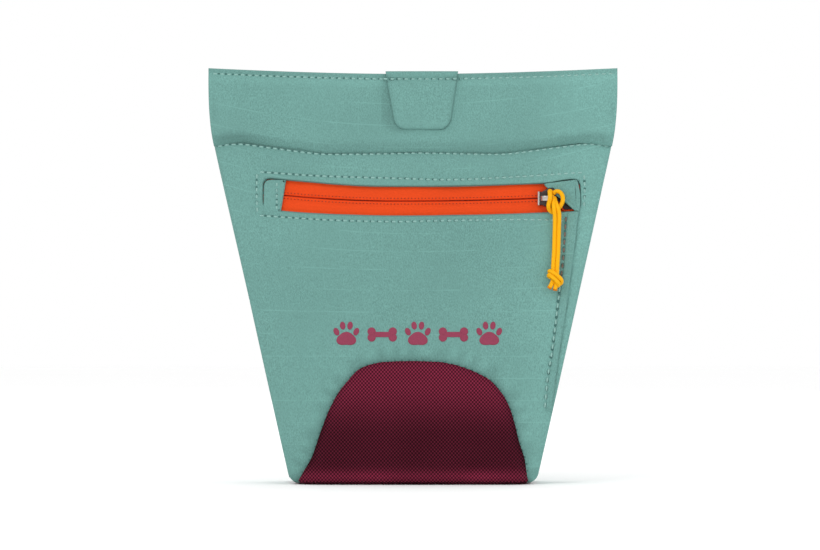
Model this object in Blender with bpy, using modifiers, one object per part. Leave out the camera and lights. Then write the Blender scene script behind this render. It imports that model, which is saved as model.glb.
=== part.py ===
"""Treat pouch for dog training, worn on a belt: a soft bag that tapers to a closed, magnetic mouth,
with a zipped pocket in its front and a belt loop and a spring clip on its back.

Frame: the origin is under the middle of the base. +Z is up, the front faces -Y and +X is to the
right as seen from the front. The front wall hinges forward about the base's front edge.
"""

import math

import bmesh
import bpy
import numpy as np
from mathutils import Matrix, Vector

# --- Bag: overall sizes ---
HEIGHT = 0.182
RIM_WIDTH = 0.180
BASE_WIDTH = 0.1076
BAG_DEPTH = 0.052
RIM_DEPTH = 0.009
BELLY_HEIGHT = 0.020
BELLY_TUCK = 0.0015
BACK_LEAN = 0.010
FLARE_DROP = 0.0236
FLARE_SOFTNESS = 0.0014
EDGE_SET_BACK = 0.0065
RIM_SET_BACK = 0.0008
MOUTH_FOLD = 0.036

# --- Layers, from the outside in ---
GAP = 0.0003
PANEL = 0.0012
BAND = 0.0024
LINER = 0.0005
LEAF = 0.0006
STIFFENER = 0.0009
STIFFENER_SIDE_MARGIN = 0.024
STIFFENER_FOOT_MARGIN = 0.008
STIFFENER_TOP_MARGIN = 0.004
BASE_THICKNESS = 0.0015
BASE_MARGIN = 0.0023
BASE_CORNER = 0.009
BASE_LINER_CORNER = 0.006
BAND_HEIGHT = 0.0345
SEAM_INSET = 0.001

# --- Zipped pocket ---
ZIP_DROP = 0.0576
WINDOW_HEIGHT = 0.0136
WINDOW_LEFT_MARGIN = 0.0166
WINDOW_RIGHT_MARGIN = 0.0090
WINDOW_RADIUS = 0.0035
TAPE = 0.0006
TAPE_REACH = 0.0085
TAPE_MARGIN = 0.0045
TAPE_SLIT = 0.0011
COIL_DEPTH = 0.0014
COIL_WIDTH = 0.0015
COIL_END = 0.0012
END_TAB_WIDTH = 0.0078
GARAGE_WIDTH = 0.0112
POCKET_DEPTH = 0.062
POCKET_ROOM = 0.0068
POCKET_SIDE_MARGIN = 0.018
POCKET_WALL = 0.0005
POCKET_SLOPE = 0.0016
POCKET_RUN_OUT = 0.013
POCKET_ABOVE_TAPE = 0.001
LINER_MARGIN = 0.003
LINER_DROP = 0.004
GUSSET_SHARE = 0.984

# --- Zip slider and its pull ---
SLIDER_LENGTH = 0.0074
SLIDER_WIDTH = 0.0063
SLIDER_PLATE = 0.0009
SLIDER_CLEARANCE = 0.0004
SLIDER_POST = 0.0005
BRIDGE_LENGTH = 0.0060
BRIDGE_WIDTH = 0.0024
BRIDGE_HEIGHT = 0.0038
BRIDGE_HOLE = 0.0012
SLIDER_STOP = 0.0005
CORD_SAG = 0.0006
CORD_DIAMETER = 0.0019
STRAND_PITCH = 0.0021
KNOT_DROP = 0.0345
KNOT_SHIFT = 0.0026
KNOT_RADIUS = 0.0034
TAIL_LENGTH = 0.0036
TAIL_ROOT = 0.0012
TAIL_LEAN = 0.35

# --- Base patch, side welt and grab tab ---
ARCH_HEIGHT = 0.0538
ARCH_HALF_WIDTH = 0.0508
ARCH_TAPER = 0.33
ARCH_SHIFT = 0.0022
WELT = 0.0008
WELT_WIDTH = 0.0036
WELT_INSET_TOP = 0.0095
WELT_INSET_FOOT = 0.0032
WELT_FOOT = 0.030
TAB_TOP_WIDTH = 0.032
TAB_FOOT_WIDTH = 0.025
TAB_LENGTH = 0.0254
TAB_SHIFT = 0.0039
TAB_RADIUS = 0.0056
TAB_THICKNESS = 0.0016
TAB_DROP = 0.0013
TAB_GAP = 0.0004

# --- Magnets ---
MAGNET_RADIUS = 0.007
MAGNET_THICKNESS = 0.0014
MAGNET_SPREAD = 0.030
MAGNET_DROP = 0.018

# --- Back: belt loop and spring clip ---
WEBBING = 0.002
LOOP_WIDTH = 0.038
LOOP_HEIGHT = 0.052
LOOP_SEWN = 0.008
BELT_ROOM = 0.007
CLIP_DROP = 0.038
CLIP_HEIGHT = 0.044
CLIP_WIDTH = 0.026
CLIP_STEEL = 0.0010
CLIP_ROOM = 0.0058
CLIP_LIP = 0.0022
CLIP_CUT = 0.0010
CLIP_TO_LOOP = 0.004
RIVET_SHANK = 0.0015
RIVET_HEAD = 0.0028
RIVET_SPREAD = 0.0075
RIVET_RISE = 0.010
RIVET_CLEARANCE = 0.0003
RIVET_HEAD_HEIGHT = 0.0008
RIVET_CUT_DEPTH = 0.02
PLATE_RISE = 0.006
TONGUE_LIP_RISE = 0.005

# --- Places worked out from the sizes ---
BACK_STANDOFF = GAP + BELT_ROOM + WEBBING
FRONT_Y = -(BAG_DEPTH + BACK_STANDOFF) / 2
BACK_Y = FRONT_Y + BAG_DEPTH
RIM_BACK_Y = BACK_Y - BACK_LEAN
RIM_FRONT_Y = RIM_BACK_Y - RIM_DEPTH
WALL_FOOT = BASE_THICKNESS + 2 * GAP
BAND_FOOT = HEIGHT - BAND_HEIGHT
ZIP_Z = HEIGHT - ZIP_DROP
TAPE_INSET = PANEL + GAP + TAPE / 2
COIL_INSET = TAPE_INSET + TAPE / 2 + GAP + COIL_DEPTH / 2
POCKET_INSET = PANEL + POCKET_ROOM + POCKET_WALL / 2
LINER_INSET = BAND + GAP + LINER / 2
LINER_BUMP = POCKET_INSET + POCKET_WALL / 2 + GAP + LINER / 2 - LINER_INSET
LEAF_INSET = LINER_INSET + LINER / 2 + GAP + LEAF / 2
POCKET_TOP = ZIP_Z + TAPE_REACH + POCKET_ABOVE_TAPE
POCKET_FOOT = POCKET_TOP - POCKET_DEPTH
CLIP_TOP = HEIGHT - CLIP_DROP
CLIP_FOOT = CLIP_TOP - CLIP_HEIGHT
LOOP_TOP = CLIP_FOOT - CLIP_TO_LOOP
LOOP_FOOT = LOOP_TOP - LOOP_HEIGHT


# --- The bag's two wall surfaces ---
def half_width(z):
    """A straight taper from the base that rounds off softly to the rim's half width under the rim."""
    slope = (RIM_WIDTH - BASE_WIDTH) / 2 / (HEIGHT - FLARE_DROP)
    taper = BASE_WIDTH / 2 + slope * z
    return taper - FLARE_SOFTNESS * np.log1p(np.exp((taper - RIM_WIDTH / 2) / FLARE_SOFTNESS))


def rise(z):
    """How far up from the belly to the rim, from 0 to 1."""
    return np.clip((z - BELLY_HEIGHT) / (HEIGHT - BELLY_HEIGHT), 0, 1)


def tuck(z):
    """How far a wall draws in below the belly."""
    return BELLY_TUCK * np.clip(1 - z / BELLY_HEIGHT, 0, 1) ** 2


def set_back(x, z):
    """How far a wall curves in towards its two side edges."""
    depth = RIM_SET_BACK + EDGE_SET_BACK * (1 - z / HEIGHT) ** 2
    return depth * np.abs(x / half_width(z)) ** 8


def front_y(x, z):
    """The front wall's outer face: fullest at the belly, leaning back in a shallow curve to the rim."""
    return RIM_FRONT_Y + (FRONT_Y - RIM_FRONT_Y) * (1 - rise(z) ** 1.3) + tuck(z) + set_back(x, z)


def back_y(x, z):
    """The back wall's outer face: nearly upright, leaning forward a little to the rim."""
    return BACK_Y - BACK_LEAN * rise(z) ** 1.6 - tuck(z) - set_back(x, z)


def front_slope(z, step=0.001):
    """The front wall's lean at a height, as a turn about X."""
    return math.atan2(front_y(0, z + step) - front_y(0, z - step), 2 * step)


def back_slope(z, step=0.001):
    """The back wall's lean at a height, as a turn about X."""
    return math.atan2(back_y(0, z + step) - back_y(0, z - step), 2 * step)


def pocket_half_width(z):
    return half_width(z) - POCKET_SIDE_MARGIN


WINDOW_LEFT = half_width(ZIP_Z) - WINDOW_LEFT_MARGIN
WINDOW_RIGHT = half_width(ZIP_Z) - WINDOW_RIGHT_MARGIN
SLIDER_X = pocket_half_width(ZIP_Z) - POCKET_SLOPE - SLIDER_STOP - SLIDER_LENGTH / 2


# --- Scene and materials ---
def clear_scene():
    for obj in list(bpy.data.objects):
        bpy.data.objects.remove(obj, do_unlink=True)


def new_collection(name):
    made = bpy.data.collections.new(name)
    bpy.context.scene.collection.children.link(made)
    return made


def new_material(name, color, roughness, metallic=0.0):
    made = bpy.data.materials.new(name)
    made.use_nodes = True
    shader = made.node_tree.nodes["Principled BSDF"]
    shader.inputs["Base Color"].default_value = (*color, 1.0)
    shader.inputs["Roughness"].default_value = roughness
    shader.inputs["Metallic"].default_value = metallic
    return made


clear_scene()
POUCH = new_collection("treat_pouch")
CUTTERS = new_collection("cutters")
CANVAS = new_material("teal_canvas", (0.17, 0.36, 0.32), 0.9)
BALLISTIC = new_material("burgundy_nylon", (0.08, 0.012, 0.022), 0.8)
ORANGE = new_material("orange_tape", (0.81, 0.08, 0.02), 0.75)
COIL_NYLON = new_material("dark_coil", (0.05, 0.02, 0.02), 0.5)
GUNMETAL = new_material("gunmetal", (0.10, 0.10, 0.11), 0.35, 0.9)
YELLOW = new_material("yellow_cord", (1.0, 0.48, 0.01), 0.7)
LINING = new_material("grey_lining", (0.30, 0.32, 0.33), 0.6)
STEEL = new_material("black_steel", (0.03, 0.03, 0.035), 0.45, 0.6)
WEB = new_material("black_webbing", (0.03, 0.03, 0.035), 0.85)
MAGNET = new_material("magnet_nickel", (0.55, 0.55, 0.56), 0.25, 1.0)
BOARD = new_material("white_board", (0.8, 0.8, 0.8), 0.5)


def add_object(name, mesh, material, collection=None):
    obj = bpy.data.objects.new(name, mesh)
    (collection or POUCH).objects.link(obj)
    if material:
        mesh.materials.append(material)
    return obj


def as_cutter(obj):
    obj.hide_render = True
    obj.display_type = "WIRE"
    return obj


def boolean(obj, other, operation):
    modifier = obj.modifiers.new(operation.lower(), "BOOLEAN")
    modifier.operation = operation
    modifier.solver = "EXACT"
    modifier.object = other
    return obj


# --- Makers of shapes ---
def wall(name, columns, heights, surface, thickness, material):
    """An open sheet of points surface(column, height), given its thickness evenly on both sides."""
    across, up = np.meshgrid(columns, heights)
    points = np.stack(surface(across, up), axis=-1).reshape(-1, 3)
    wide = len(columns)
    first = (np.arange(len(heights) - 1)[:, None] * wide + np.arange(wide - 1)).reshape(-1)
    faces = np.stack([first, first + 1, first + wide + 1, first + wide], axis=1)
    mesh = bpy.data.meshes.new(name)
    mesh.from_pydata(points.tolist(), [], faces.tolist())
    obj = add_object(name, mesh, material)
    modifier = obj.modifiers.new("thickness", "SOLIDIFY")
    modifier.thickness = thickness
    modifier.offset = 0
    return obj


def flat_piece(name, outline, thickness, material, collection=None):
    """A flat outline in X and Z, given its thickness along Y, as a mesh with welded caps."""
    curve = bpy.data.curves.new(name, "CURVE")
    curve.dimensions = "2D"
    curve.fill_mode = "BOTH"
    curve.extrude = thickness / 2
    spline = curve.splines.new("POLY")
    spline.points.add(len(outline) - 1)
    for point, (x, z) in zip(spline.points, outline):
        point.co = (x, z, 0, 1)
    spline.use_cyclic_u = True
    guide = bpy.data.objects.new(name + "_guide", curve)
    bpy.context.scene.collection.objects.link(guide)
    graph = bpy.context.evaluated_depsgraph_get()
    mesh = bpy.data.meshes.new_from_object(guide.evaluated_get(graph))
    bpy.data.objects.remove(guide)
    mesh.name = name
    mesh.transform(Matrix.Rotation(math.pi / 2, 4, "X"))
    weld(mesh)
    return add_object(name, mesh, material, collection)


def weld(mesh):
    work = bmesh.new()
    work.from_mesh(mesh)
    bmesh.ops.remove_doubles(work, verts=work.verts, dist=1e-6)
    bmesh.ops.recalc_face_normals(work, faces=work.faces)
    work.to_mesh(mesh)
    work.free()


def solid_mesh(name, build):
    """A mesh filled by build(bmesh)."""
    mesh = bpy.data.meshes.new(name)
    work = bmesh.new()
    build(work)
    work.to_mesh(mesh)
    work.free()
    return mesh


def block_mesh(name, low, high):
    """A box between two corners."""
    size, middle = Vector(high) - Vector(low), (Vector(high) + Vector(low)) / 2
    place = Matrix.Translation(middle) @ Matrix.Diagonal((*size, 1))
    return solid_mesh(name, lambda work: bmesh.ops.create_cube(work, size=1, matrix=place))


def disc_mesh(name, radius, depth, place, sides=32):
    """A cylinder, lying along place's own Z axis."""
    return solid_mesh(name, lambda work: bmesh.ops.create_cone(
        work, cap_ends=True, segments=sides, radius1=radius, radius2=radius, depth=depth, matrix=place))


def tube(name, points, diameter, material):
    """A round cord along a list of points."""
    curve = bpy.data.curves.new(name, "CURVE")
    curve.dimensions = "3D"
    curve.bevel_depth = diameter / 2
    curve.bevel_resolution = 2
    curve.use_fill_caps = True
    spline = curve.splines.new("POLY")
    spline.points.add(len(points) - 1)
    for point, place in zip(spline.points, points):
        point.co = (*place, 1)
    curve.materials.append(material)
    obj = bpy.data.objects.new(name, curve)
    POUCH.objects.link(obj)
    return obj


def arc(middle_x, middle_z, radius, start, end, steps=6):
    """Points along a circular arc, with its angles in degrees from +X towards +Z."""
    turns = np.radians(np.linspace(start, end, steps + 1))
    return [(middle_x + radius * math.cos(t), middle_z + radius * math.sin(t)) for t in turns]


def rounded_box(left, right, foot, top, radius):
    """The outline of a rectangle with round corners."""
    return (
        arc(right - radius, top - radius, radius, 0, 90)
        + arc(left + radius, top - radius, radius, 90, 180)
        + arc(left + radius, foot + radius, radius, 180, 270)
        + arc(right - radius, foot + radius, radius, 270, 360)
    )


def smooth_through(points, count):
    """Evenly numbered points on a Catmull-Rom curve through a few chosen points."""
    knots = np.array([points[0], *points, points[-1]], float)
    spots = np.linspace(0, len(points) - 1 - 1e-9, count)
    index = spots.astype(int)
    t = (spots - index)[:, None]
    a, b, c, d = (knots[index + k] for k in range(4))
    return 0.5 * (2 * b + (c - a) * t + (2 * a - 5 * b + 4 * c - d) * t**2 + (3 * b - a - 3 * c + d) * t**3)


# --- Walls of the bag ---
def span(foot, top, count):
    return np.linspace(foot, top, count + 1)


def front_sheet(inset, side_inset=0.0):
    """The front wall's surface at a depth inside its outer face; columns run from -1 to 1 across it."""
    def surface(u, z):
        x = u * (half_width(z) - side_inset)
        return x, front_y(x, z) + inset, z
    return surface


def back_sheet(inset, side_inset=0.0):
    """The back wall's surface at a depth inside its outer face; columns run from -1 to 1 across it."""
    def surface(u, z):
        x = u * (half_width(z) - side_inset)
        return x, back_y(x, z) - inset, z
    return surface


def edge_columns(count=16):
    """Columns across a wall, closer together near its two side edges."""
    return np.sin(np.linspace(-1, 1, count + 1) * math.pi / 2)


def arch_outline(shrink=0.0, steps=30):
    """The base patch's outline: sides that draw in as they rise, closed by a broad round top."""
    height = ARCH_HEIGHT - shrink
    turns = np.linspace(0, math.pi / 2, steps // 2)
    z = height * np.sin(turns)
    half = (ARCH_HALF_WIDTH - shrink - ARCH_TAPER * z) * (1 - (z / height) ** 6) ** (1 / 3)
    right = list(zip(ARCH_SHIFT + half, z))
    left = list(zip(ARCH_SHIFT - half, z))[-2::-1]
    foot = -0.01
    return [(right[0][0], foot), *right, *left, (left[-1][0], foot)]


def through_cutter(name, outline):
    """A cutter that goes through the front wall along Y."""
    cutter = flat_piece(name, outline, 2 * BAG_DEPTH, None, CUTTERS)
    cutter.location.y = FRONT_Y
    return as_cutter(cutter)


def window_outline(shrink=0.0):
    return rounded_box(
        -WINDOW_LEFT + shrink, WINDOW_RIGHT - shrink,
        ZIP_Z - WINDOW_HEIGHT / 2 + shrink, ZIP_Z + WINDOW_HEIGHT / 2 - shrink,
        WINDOW_RADIUS - shrink)


def make_front_walls():
    panel = wall("front_panel", edge_columns(), span(WALL_FOOT, BAND_FOOT - GAP / 2, 16),
                 front_sheet(PANEL / 2), PANEL, CANVAS)
    boolean(panel, through_cutter("window_cutter", window_outline()), "DIFFERENCE")
    boolean(panel, through_cutter("arch_cutter", arch_outline()), "DIFFERENCE")
    patch = wall("front_base_patch", edge_columns(), span(WALL_FOOT, ARCH_HEIGHT + PANEL, 8),
                 front_sheet(PANEL / 2), PANEL, BALLISTIC)
    boolean(patch, through_cutter("patch_cutter", arch_outline(GAP)), "INTERSECT")


def make_side_welt():
    """The lapped seam down the right of the front, from beside the zip to just above the base."""
    top = ZIP_Z - WINDOW_HEIGHT / 2

    def surface(u, z):
        share = (z - WELT_FOOT) / (top - WELT_FOOT)
        inset = WELT_INSET_FOOT + (WELT_INSET_TOP - WELT_INSET_FOOT) * share
        x = half_width(z) - inset + (u - 1) * WELT_WIDTH / 2
        return x, front_y(x, z) - GAP - WELT / 2, z

    wall("side_welt", np.array([-1.0, 0.0, 1.0]), span(WELT_FOOT, top, 12), surface, WELT, CANVAS)


def make_rim_bands():
    heights = span(BAND_FOOT + GAP / 2, HEIGHT, 5)
    front = wall("front_rim_band", edge_columns(), heights, front_sheet(BAND / 2), BAND, CANVAS)
    back = wall("back_rim_band", edge_columns(), heights, back_sheet(BAND / 2), BAND, CANVAS)
    z = HEIGHT - MAGNET_DROP
    for side, x in (("left", -MAGNET_SPREAD), ("right", MAGNET_SPREAD)):
        for band, face, slope, inward in (
            (front, front_y, front_slope(z), 1), (back, back_y, back_slope(z), -1)):
            where = band.name.split("_")[0]
            depth = MAGNET_THICKNESS + 2 * GAP
            turn = Matrix.Rotation(math.pi / 2 - slope, 4, "X")
            inner = face(x, z) + inward * BAND
            magnet_y = inner - inward * (GAP + MAGNET_THICKNESS / 2)
            cutter_y = inner - inward * (depth / 2 - GAP / 2)
            pocket = disc_mesh("pocket", MAGNET_RADIUS + GAP, depth + GAP,
                               Matrix.Translation((x, cutter_y, z)) @ turn)
            cutter = as_cutter(add_object(f"{where}_{side}_magnet_cutter", pocket, None, CUTTERS))
            boolean(band, cutter, "DIFFERENCE")
            add_object(f"{where}_magnet_{side}",
                       disc_mesh("magnet", MAGNET_RADIUS, MAGNET_THICKNESS,
                                 Matrix.Translation((x, magnet_y, z)) @ turn), MAGNET)


def make_back_wall():
    panel = wall("back_panel", edge_columns(), span(WALL_FOOT, BAND_FOOT - GAP / 2, 12),
                 back_sheet(PANEL / 2), PANEL, CANVAS)
    heights = span(WALL_FOOT + STIFFENER_FOOT_MARGIN, BAND_FOOT - STIFFENER_TOP_MARGIN, 10)
    board = wall("back_stiffener", np.linspace(-1, 1, 7), heights,
                 back_sheet(PANEL + GAP + STIFFENER / 2, STIFFENER_SIDE_MARGIN), STIFFENER, BOARD)
    return panel, board


def make_base():
    half = BASE_WIDTH / 2 - BASE_MARGIN
    front, back = front_y(0, 0) + GAP, back_y(0, 0) - GAP
    outline = rounded_box(-half, half, front, back, BASE_CORNER)
    base = flat_piece("base_panel", outline, BASE_THICKNESS, BALLISTIC)
    base.rotation_euler.x = -math.pi / 2
    base.location.z = BASE_THICKNESS / 2
    margin = LEAF_INSET + LEAF
    lining = rounded_box(-half + margin, half - margin, front + margin, back - margin, BASE_LINER_CORNER)
    floor = flat_piece("base_liner", lining, LINER, LINING)
    floor.rotation_euler.x = -math.pi / 2
    floor.location.z = BASE_THICKNESS + GAP + LINER / 2


# --- Lining, pocket and gussets ---
def ease(value):
    t = np.clip(value, 0, 1)
    return t * t * (3 - 2 * t)


def pocket_heights(z):
    """1 at the pocket's heights, falling to 0 a little below it and at the rim band."""
    below = ease((z - POCKET_FOOT + POCKET_RUN_OUT) / (POCKET_RUN_OUT - 3 * GAP))
    above = ease((BAND_FOOT - z) / (BAND_FOOT - POCKET_TOP - 3 * GAP))
    return below * above


def pocket_bump(x, z):
    """How much of the pocket's depth the lining has to stand clear of, from 0 to 1."""
    run_out = POCKET_SIDE_MARGIN - LINER_MARGIN - 6 * GAP
    side = ease((half_width(z) - LINER_MARGIN - 4 * GAP - np.abs(x)) / run_out)
    return side * pocket_heights(z)


def front_lining_y(x, z):
    """The front lining's middle surface, which bulges round the pocket."""
    return front_y(x, z) + LINER_INSET + LINER_BUMP * pocket_bump(x, z)


def lining_heights(top):
    """Rows for the lining and the gussets, which share them and so follow one another round the pocket."""
    low, high = POCKET_FOOT - 3 * GAP, POCKET_TOP + 3 * GAP
    return np.concatenate([
        span(WALL_FOOT + 3 * GAP, POCKET_FOOT - POCKET_RUN_OUT, 3),
        span(POCKET_FOOT - POCKET_RUN_OUT, low, 3)[1:],
        span(low, high, 6)[1:],
        span(high, BAND_FOOT, 4)[1:],
        span(BAND_FOOT, top, 3)[1:],
    ])


def make_liners():
    edges = np.linspace(LINER_MARGIN, POCKET_SIDE_MARGIN - GAP, 6)
    inner = np.linspace(-1, 1, 11)
    sides = len(edges)
    columns = np.arange(2 * sides + len(inner) - 2)

    def place(column, z):
        """Columns at fixed distances from each side edge, and even ones between them."""
        column = column.astype(int)
        width = half_width(z)
        x = inner[np.clip(column - sides + 1, 0, len(inner) - 1)] * (width - edges[-1])
        left = column < sides
        right = column >= sides + len(inner) - 2
        x = np.where(left, edges[np.clip(column, 0, sides - 1)] - width, x)
        mirrored = columns[-1] - column
        return np.where(right, width - edges[np.clip(mirrored, 0, sides - 1)], x)

    def front_surface(column, z):
        x = place(column, z)
        return x, front_lining_y(x, z), z

    def back_surface(column, z):
        x = place(column, z)
        return x, back_y(x, z) - LINER_INSET, z

    top = HEIGHT - LINER_DROP
    wall("front_liner", columns, lining_heights(top), front_surface, LINER, LINING)
    wall("back_liner", columns[::2], span(WALL_FOOT + 3 * GAP, top, 10), back_surface, LINER, LINING)


def make_pocket_bag():
    """A shallow tray behind the zip: flat at the back, sloping forward to its sewn edges."""
    steps = np.concatenate([[0.0], np.linspace(0.04, 0.96, 9), [1.0]])

    def surface(u, v):
        z = np.where(v <= 0, POCKET_FOOT, np.where(v >= 1, POCKET_TOP, 0))
        inner = (v - 0.04) / 0.92
        low, high = POCKET_FOOT + POCKET_SLOPE, POCKET_TOP - POCKET_SLOPE / 2
        z = np.where((v > 0) & (v < 1), low + inner * (high - low), z)
        half = pocket_half_width(z)
        x = np.where(u <= 0, -half, np.where(u >= 1, half, 0))
        across = (u - 0.04) / 0.92 * 2 - 1
        x = np.where((u > 0) & (u < 1), across * (half - POCKET_SLOPE), x)
        edge = (u <= 0) | (u >= 1) | (v <= 0) | (v >= 1)
        sewn = COIL_INSET - COIL_DEPTH / 2 + POCKET_WALL / 2
        return x, front_y(x, z) + np.where(edge, sewn, POCKET_INSET), z

    wall("pocket_bag", steps, steps, surface, POCKET_WALL, LINING)


def seam_lines(z):
    """Where a gusset's two leaves are sewn in, and the middle of the room between the linings."""
    x = half_width(z) - SEAM_INSET
    front, back = front_y(x, z) + LEAF_INSET, back_y(x, z) - LEAF_INSET
    return front, back, (front + LINER_BUMP * pocket_heights(z) + back) / 2


def fold_depth(z):
    """How far a gusset is folded in: its cloth is longer than half the gap that it has to cross."""
    front, back, _ = seam_lines(z)
    front_foot, back_foot, _ = seam_lines(0.0)
    foot = (back_foot - front_foot) / 2
    cloth = foot + (MOUTH_FOLD - foot) * z / HEIGHT
    return np.sqrt(np.maximum(cloth**2 - ((back - front) / 2) ** 2, 0))


def make_gussets():
    for side, sign in (("left", -1), ("right", 1)):
        for half, toward in (("front", -1), ("back", 1)):
            def surface(q, z, sign=sign, toward=toward):
                front, back, middle = seam_lines(z)
                seam = front if toward < 0 else back
                fold = middle + toward * (LEAF / 2 + GAP * 0.7)
                x = half_width(z) - SEAM_INSET - fold_depth(z) * q
                y = seam + (fold - seam) * q
                clear = LEAF_INSET - LINER_INSET + GAP * np.minimum(4 * q, 1)
                if toward < 0:
                    y = np.maximum(y, front_lining_y(x, z) + clear)
                else:
                    y = np.minimum(y, back_y(x, z) - LINER_INSET - clear)
                return sign * x, y, z

            wall(f"{side}_gusset_{half}", np.linspace(0, 1, 9),
                 lining_heights(HEIGHT * GUSSET_SHARE), surface, LEAF, CANVAS)


# --- Zip ---
def make_zip():
    end = half_width(ZIP_Z) - TAPE_MARGIN
    bands = (("lower", -TAPE_REACH, -TAPE_SLIT / 2, -1), ("upper", TAPE_SLIT / 2, TAPE_REACH, 1))
    lean = front_slope(ZIP_Z)

    def layer(inset):
        """A layer square behind the wall, so that the slit runs straight in through every layer."""
        return lambda x, z: (x, front_y(x, z) + inset * math.cos(lean), z - inset * math.sin(lean))

    for name, low, high, sign in bands:
        heights = np.array([ZIP_Z + low, ZIP_Z + (low + high) / 2, ZIP_Z + high])
        wall(f"zip_tape_{name}", np.linspace(-end, end, 21), heights, layer(TAPE_INSET), TAPE, ORANGE)
        near = ZIP_Z + sign * TAPE_SLIT / 2
        far = near + sign * COIL_WIDTH
        reach = pocket_half_width(ZIP_Z) - POCKET_SLOPE - COIL_END
        wall(f"zip_coil_{name}", np.linspace(-reach, reach, 17),
             np.array(sorted((near, far))), layer(COIL_INSET), COIL_DEPTH, COIL_NYLON)


def place_on_front(obj, x, z, inset):
    """Puts a piece made around the origin on the front wall, leaning with it."""
    obj.location = (x, front_y(x, z) + inset, z)
    obj.rotation_euler.x = -front_slope(z)


def make_zip_ends():
    """The cloth tab over the zip's left end and the flap that garages the slider at its right end."""
    half = WINDOW_HEIGHT / 2 - GAP
    thickness = PANEL - GAP
    left = -WINDOW_LEFT + GAP
    middle = left + END_TAB_WIDTH / 2
    corner = WINDOW_RADIUS - GAP
    tab = flat_piece(
        "zip_end_tab",
        arc(-END_TAB_WIDTH / 2 + corner, half - corner, corner, 90, 180)
        + arc(-END_TAB_WIDTH / 2 + corner, corner - half, corner, 180, 270)
        + [(END_TAB_WIDTH / 2, -half), (END_TAB_WIDTH / 2, half)],
        thickness, CANVAS)
    place_on_front(tab, middle, ZIP_Z, thickness / 2)
    right = WINDOW_RIGHT - GAP
    flap = flat_piece(
        "zip_garage",
        arc(GARAGE_WIDTH / 2 - corner, half - corner, corner, 0, 90)
        + [(-GARAGE_WIDTH / 2, half), (GARAGE_WIDTH / 2, -half + corner)],
        thickness, CANVAS)
    place_on_front(flap, right - GARAGE_WIDTH / 2, ZIP_Z, thickness / 2)


def make_slider():
    """Front plate, bridge, post and back plate in one casting, made around the front plate's middle."""
    back_near = COIL_INSET + COIL_DEPTH / 2 + SLIDER_CLEARANCE
    plate_far = TAPE_INSET - TAPE / 2 - SLIDER_CLEARANCE
    plate_near = plate_far - SLIDER_PLATE
    half_length, half_across = SLIDER_LENGTH / 2, SLIDER_WIDTH / 2
    plate = block_mesh(
        "zip_slider", (-half_length, plate_near, -half_across), (half_length, plate_far, half_across))
    slider = add_object("zip_slider", plate, GUNMETAL)
    parts = (
        ("slider_back", (-half_length, back_near, -half_across),
         (half_length, back_near + SLIDER_PLATE, half_across)),
        ("slider_post", (half_length * 0.2, plate_far - SLIDER_PLATE / 2, -SLIDER_POST / 2),
         (half_length * 0.9, back_near + SLIDER_PLATE / 2, SLIDER_POST / 2)),
        ("slider_bridge", (-BRIDGE_LENGTH / 2, plate_near - BRIDGE_HEIGHT, -BRIDGE_WIDTH / 2),
         (BRIDGE_LENGTH / 2, plate_far - SLIDER_PLATE / 2, BRIDGE_WIDTH / 2)),
    )
    helpers = []
    for name, low, high in parts:
        helper = as_cutter(add_object(name, block_mesh(name, low, high), None, CUTTERS))
        boolean(slider, helper, "UNION")
        helpers.append(helper)
    hole_y = plate_near - BRIDGE_HOLE - GAP
    hole = as_cutter(add_object("slider_hole", disc_mesh(
        "slider_hole", BRIDGE_HOLE, 4 * BRIDGE_WIDTH, Matrix.Translation((0, hole_y, 0)), 20), None, CUTTERS))
    boolean(slider, hole, "DIFFERENCE")
    for obj in (slider, hole, *helpers):
        place_on_front(obj, SLIDER_X, ZIP_Z, 0)
    return plate_near - BRIDGE_HEIGHT


def make_pull(bridge_front):
    """A doubled cord that hangs from the slider's bridge and ends in one knot with two short tails."""
    radius = CORD_DIAMETER / 2
    top_y = front_y(SLIDER_X, ZIP_Z) + bridge_front - 2 * GAP - radius
    knot_z = ZIP_Z - KNOT_DROP
    knot_x = SLIDER_X + KNOT_SHIFT
    knot_y = front_y(knot_x, knot_z) - 2 * GAP - KNOT_RADIUS
    half = STRAND_PITCH / 2
    foot = np.array([knot_x, knot_y, knot_z + KNOT_RADIUS + GAP])
    top = np.array([SLIDER_X, top_y, ZIP_Z])
    side = np.array([half, 0, 0])
    sag = np.array([0, -CORD_SAG, 0])
    middle = (top + foot) / 2 + sag
    crown = np.array([0, 0, half])
    near, low = side * 0.75, crown * 0.1
    route = [foot - side, middle - side, top - side - crown, top - near + low, top + crown * 0.5,
             top + near + low, top + side - crown, middle + side, foot + side]
    tube("pull_cord", smooth_through(route, 34).tolist(), CORD_DIAMETER, YELLOW)

    knot = add_object("pull_knot", solid_mesh("pull_knot", lambda work: bmesh.ops.create_uvsphere(
        work, u_segments=16, v_segments=10, radius=KNOT_RADIUS)), YELLOW)
    knot.location = (knot_x, knot_y, knot_z)
    for name, lean in (("left_tail", -TAIL_LEAN), ("right_tail", TAIL_LEAN)):
        turn = Matrix.Rotation(lean, 4, "Y")
        drop = Matrix.Translation((0, 0, -KNOT_RADIUS - TAIL_LENGTH / 2 + TAIL_ROOT))
        tail = as_cutter(add_object(name, disc_mesh(
            name, radius, TAIL_LENGTH + TAIL_ROOT, turn @ drop, 12), None, CUTTERS))
        tail.location = knot.location
        boolean(knot, tail, "UNION")
    return Vector(top)


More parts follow.
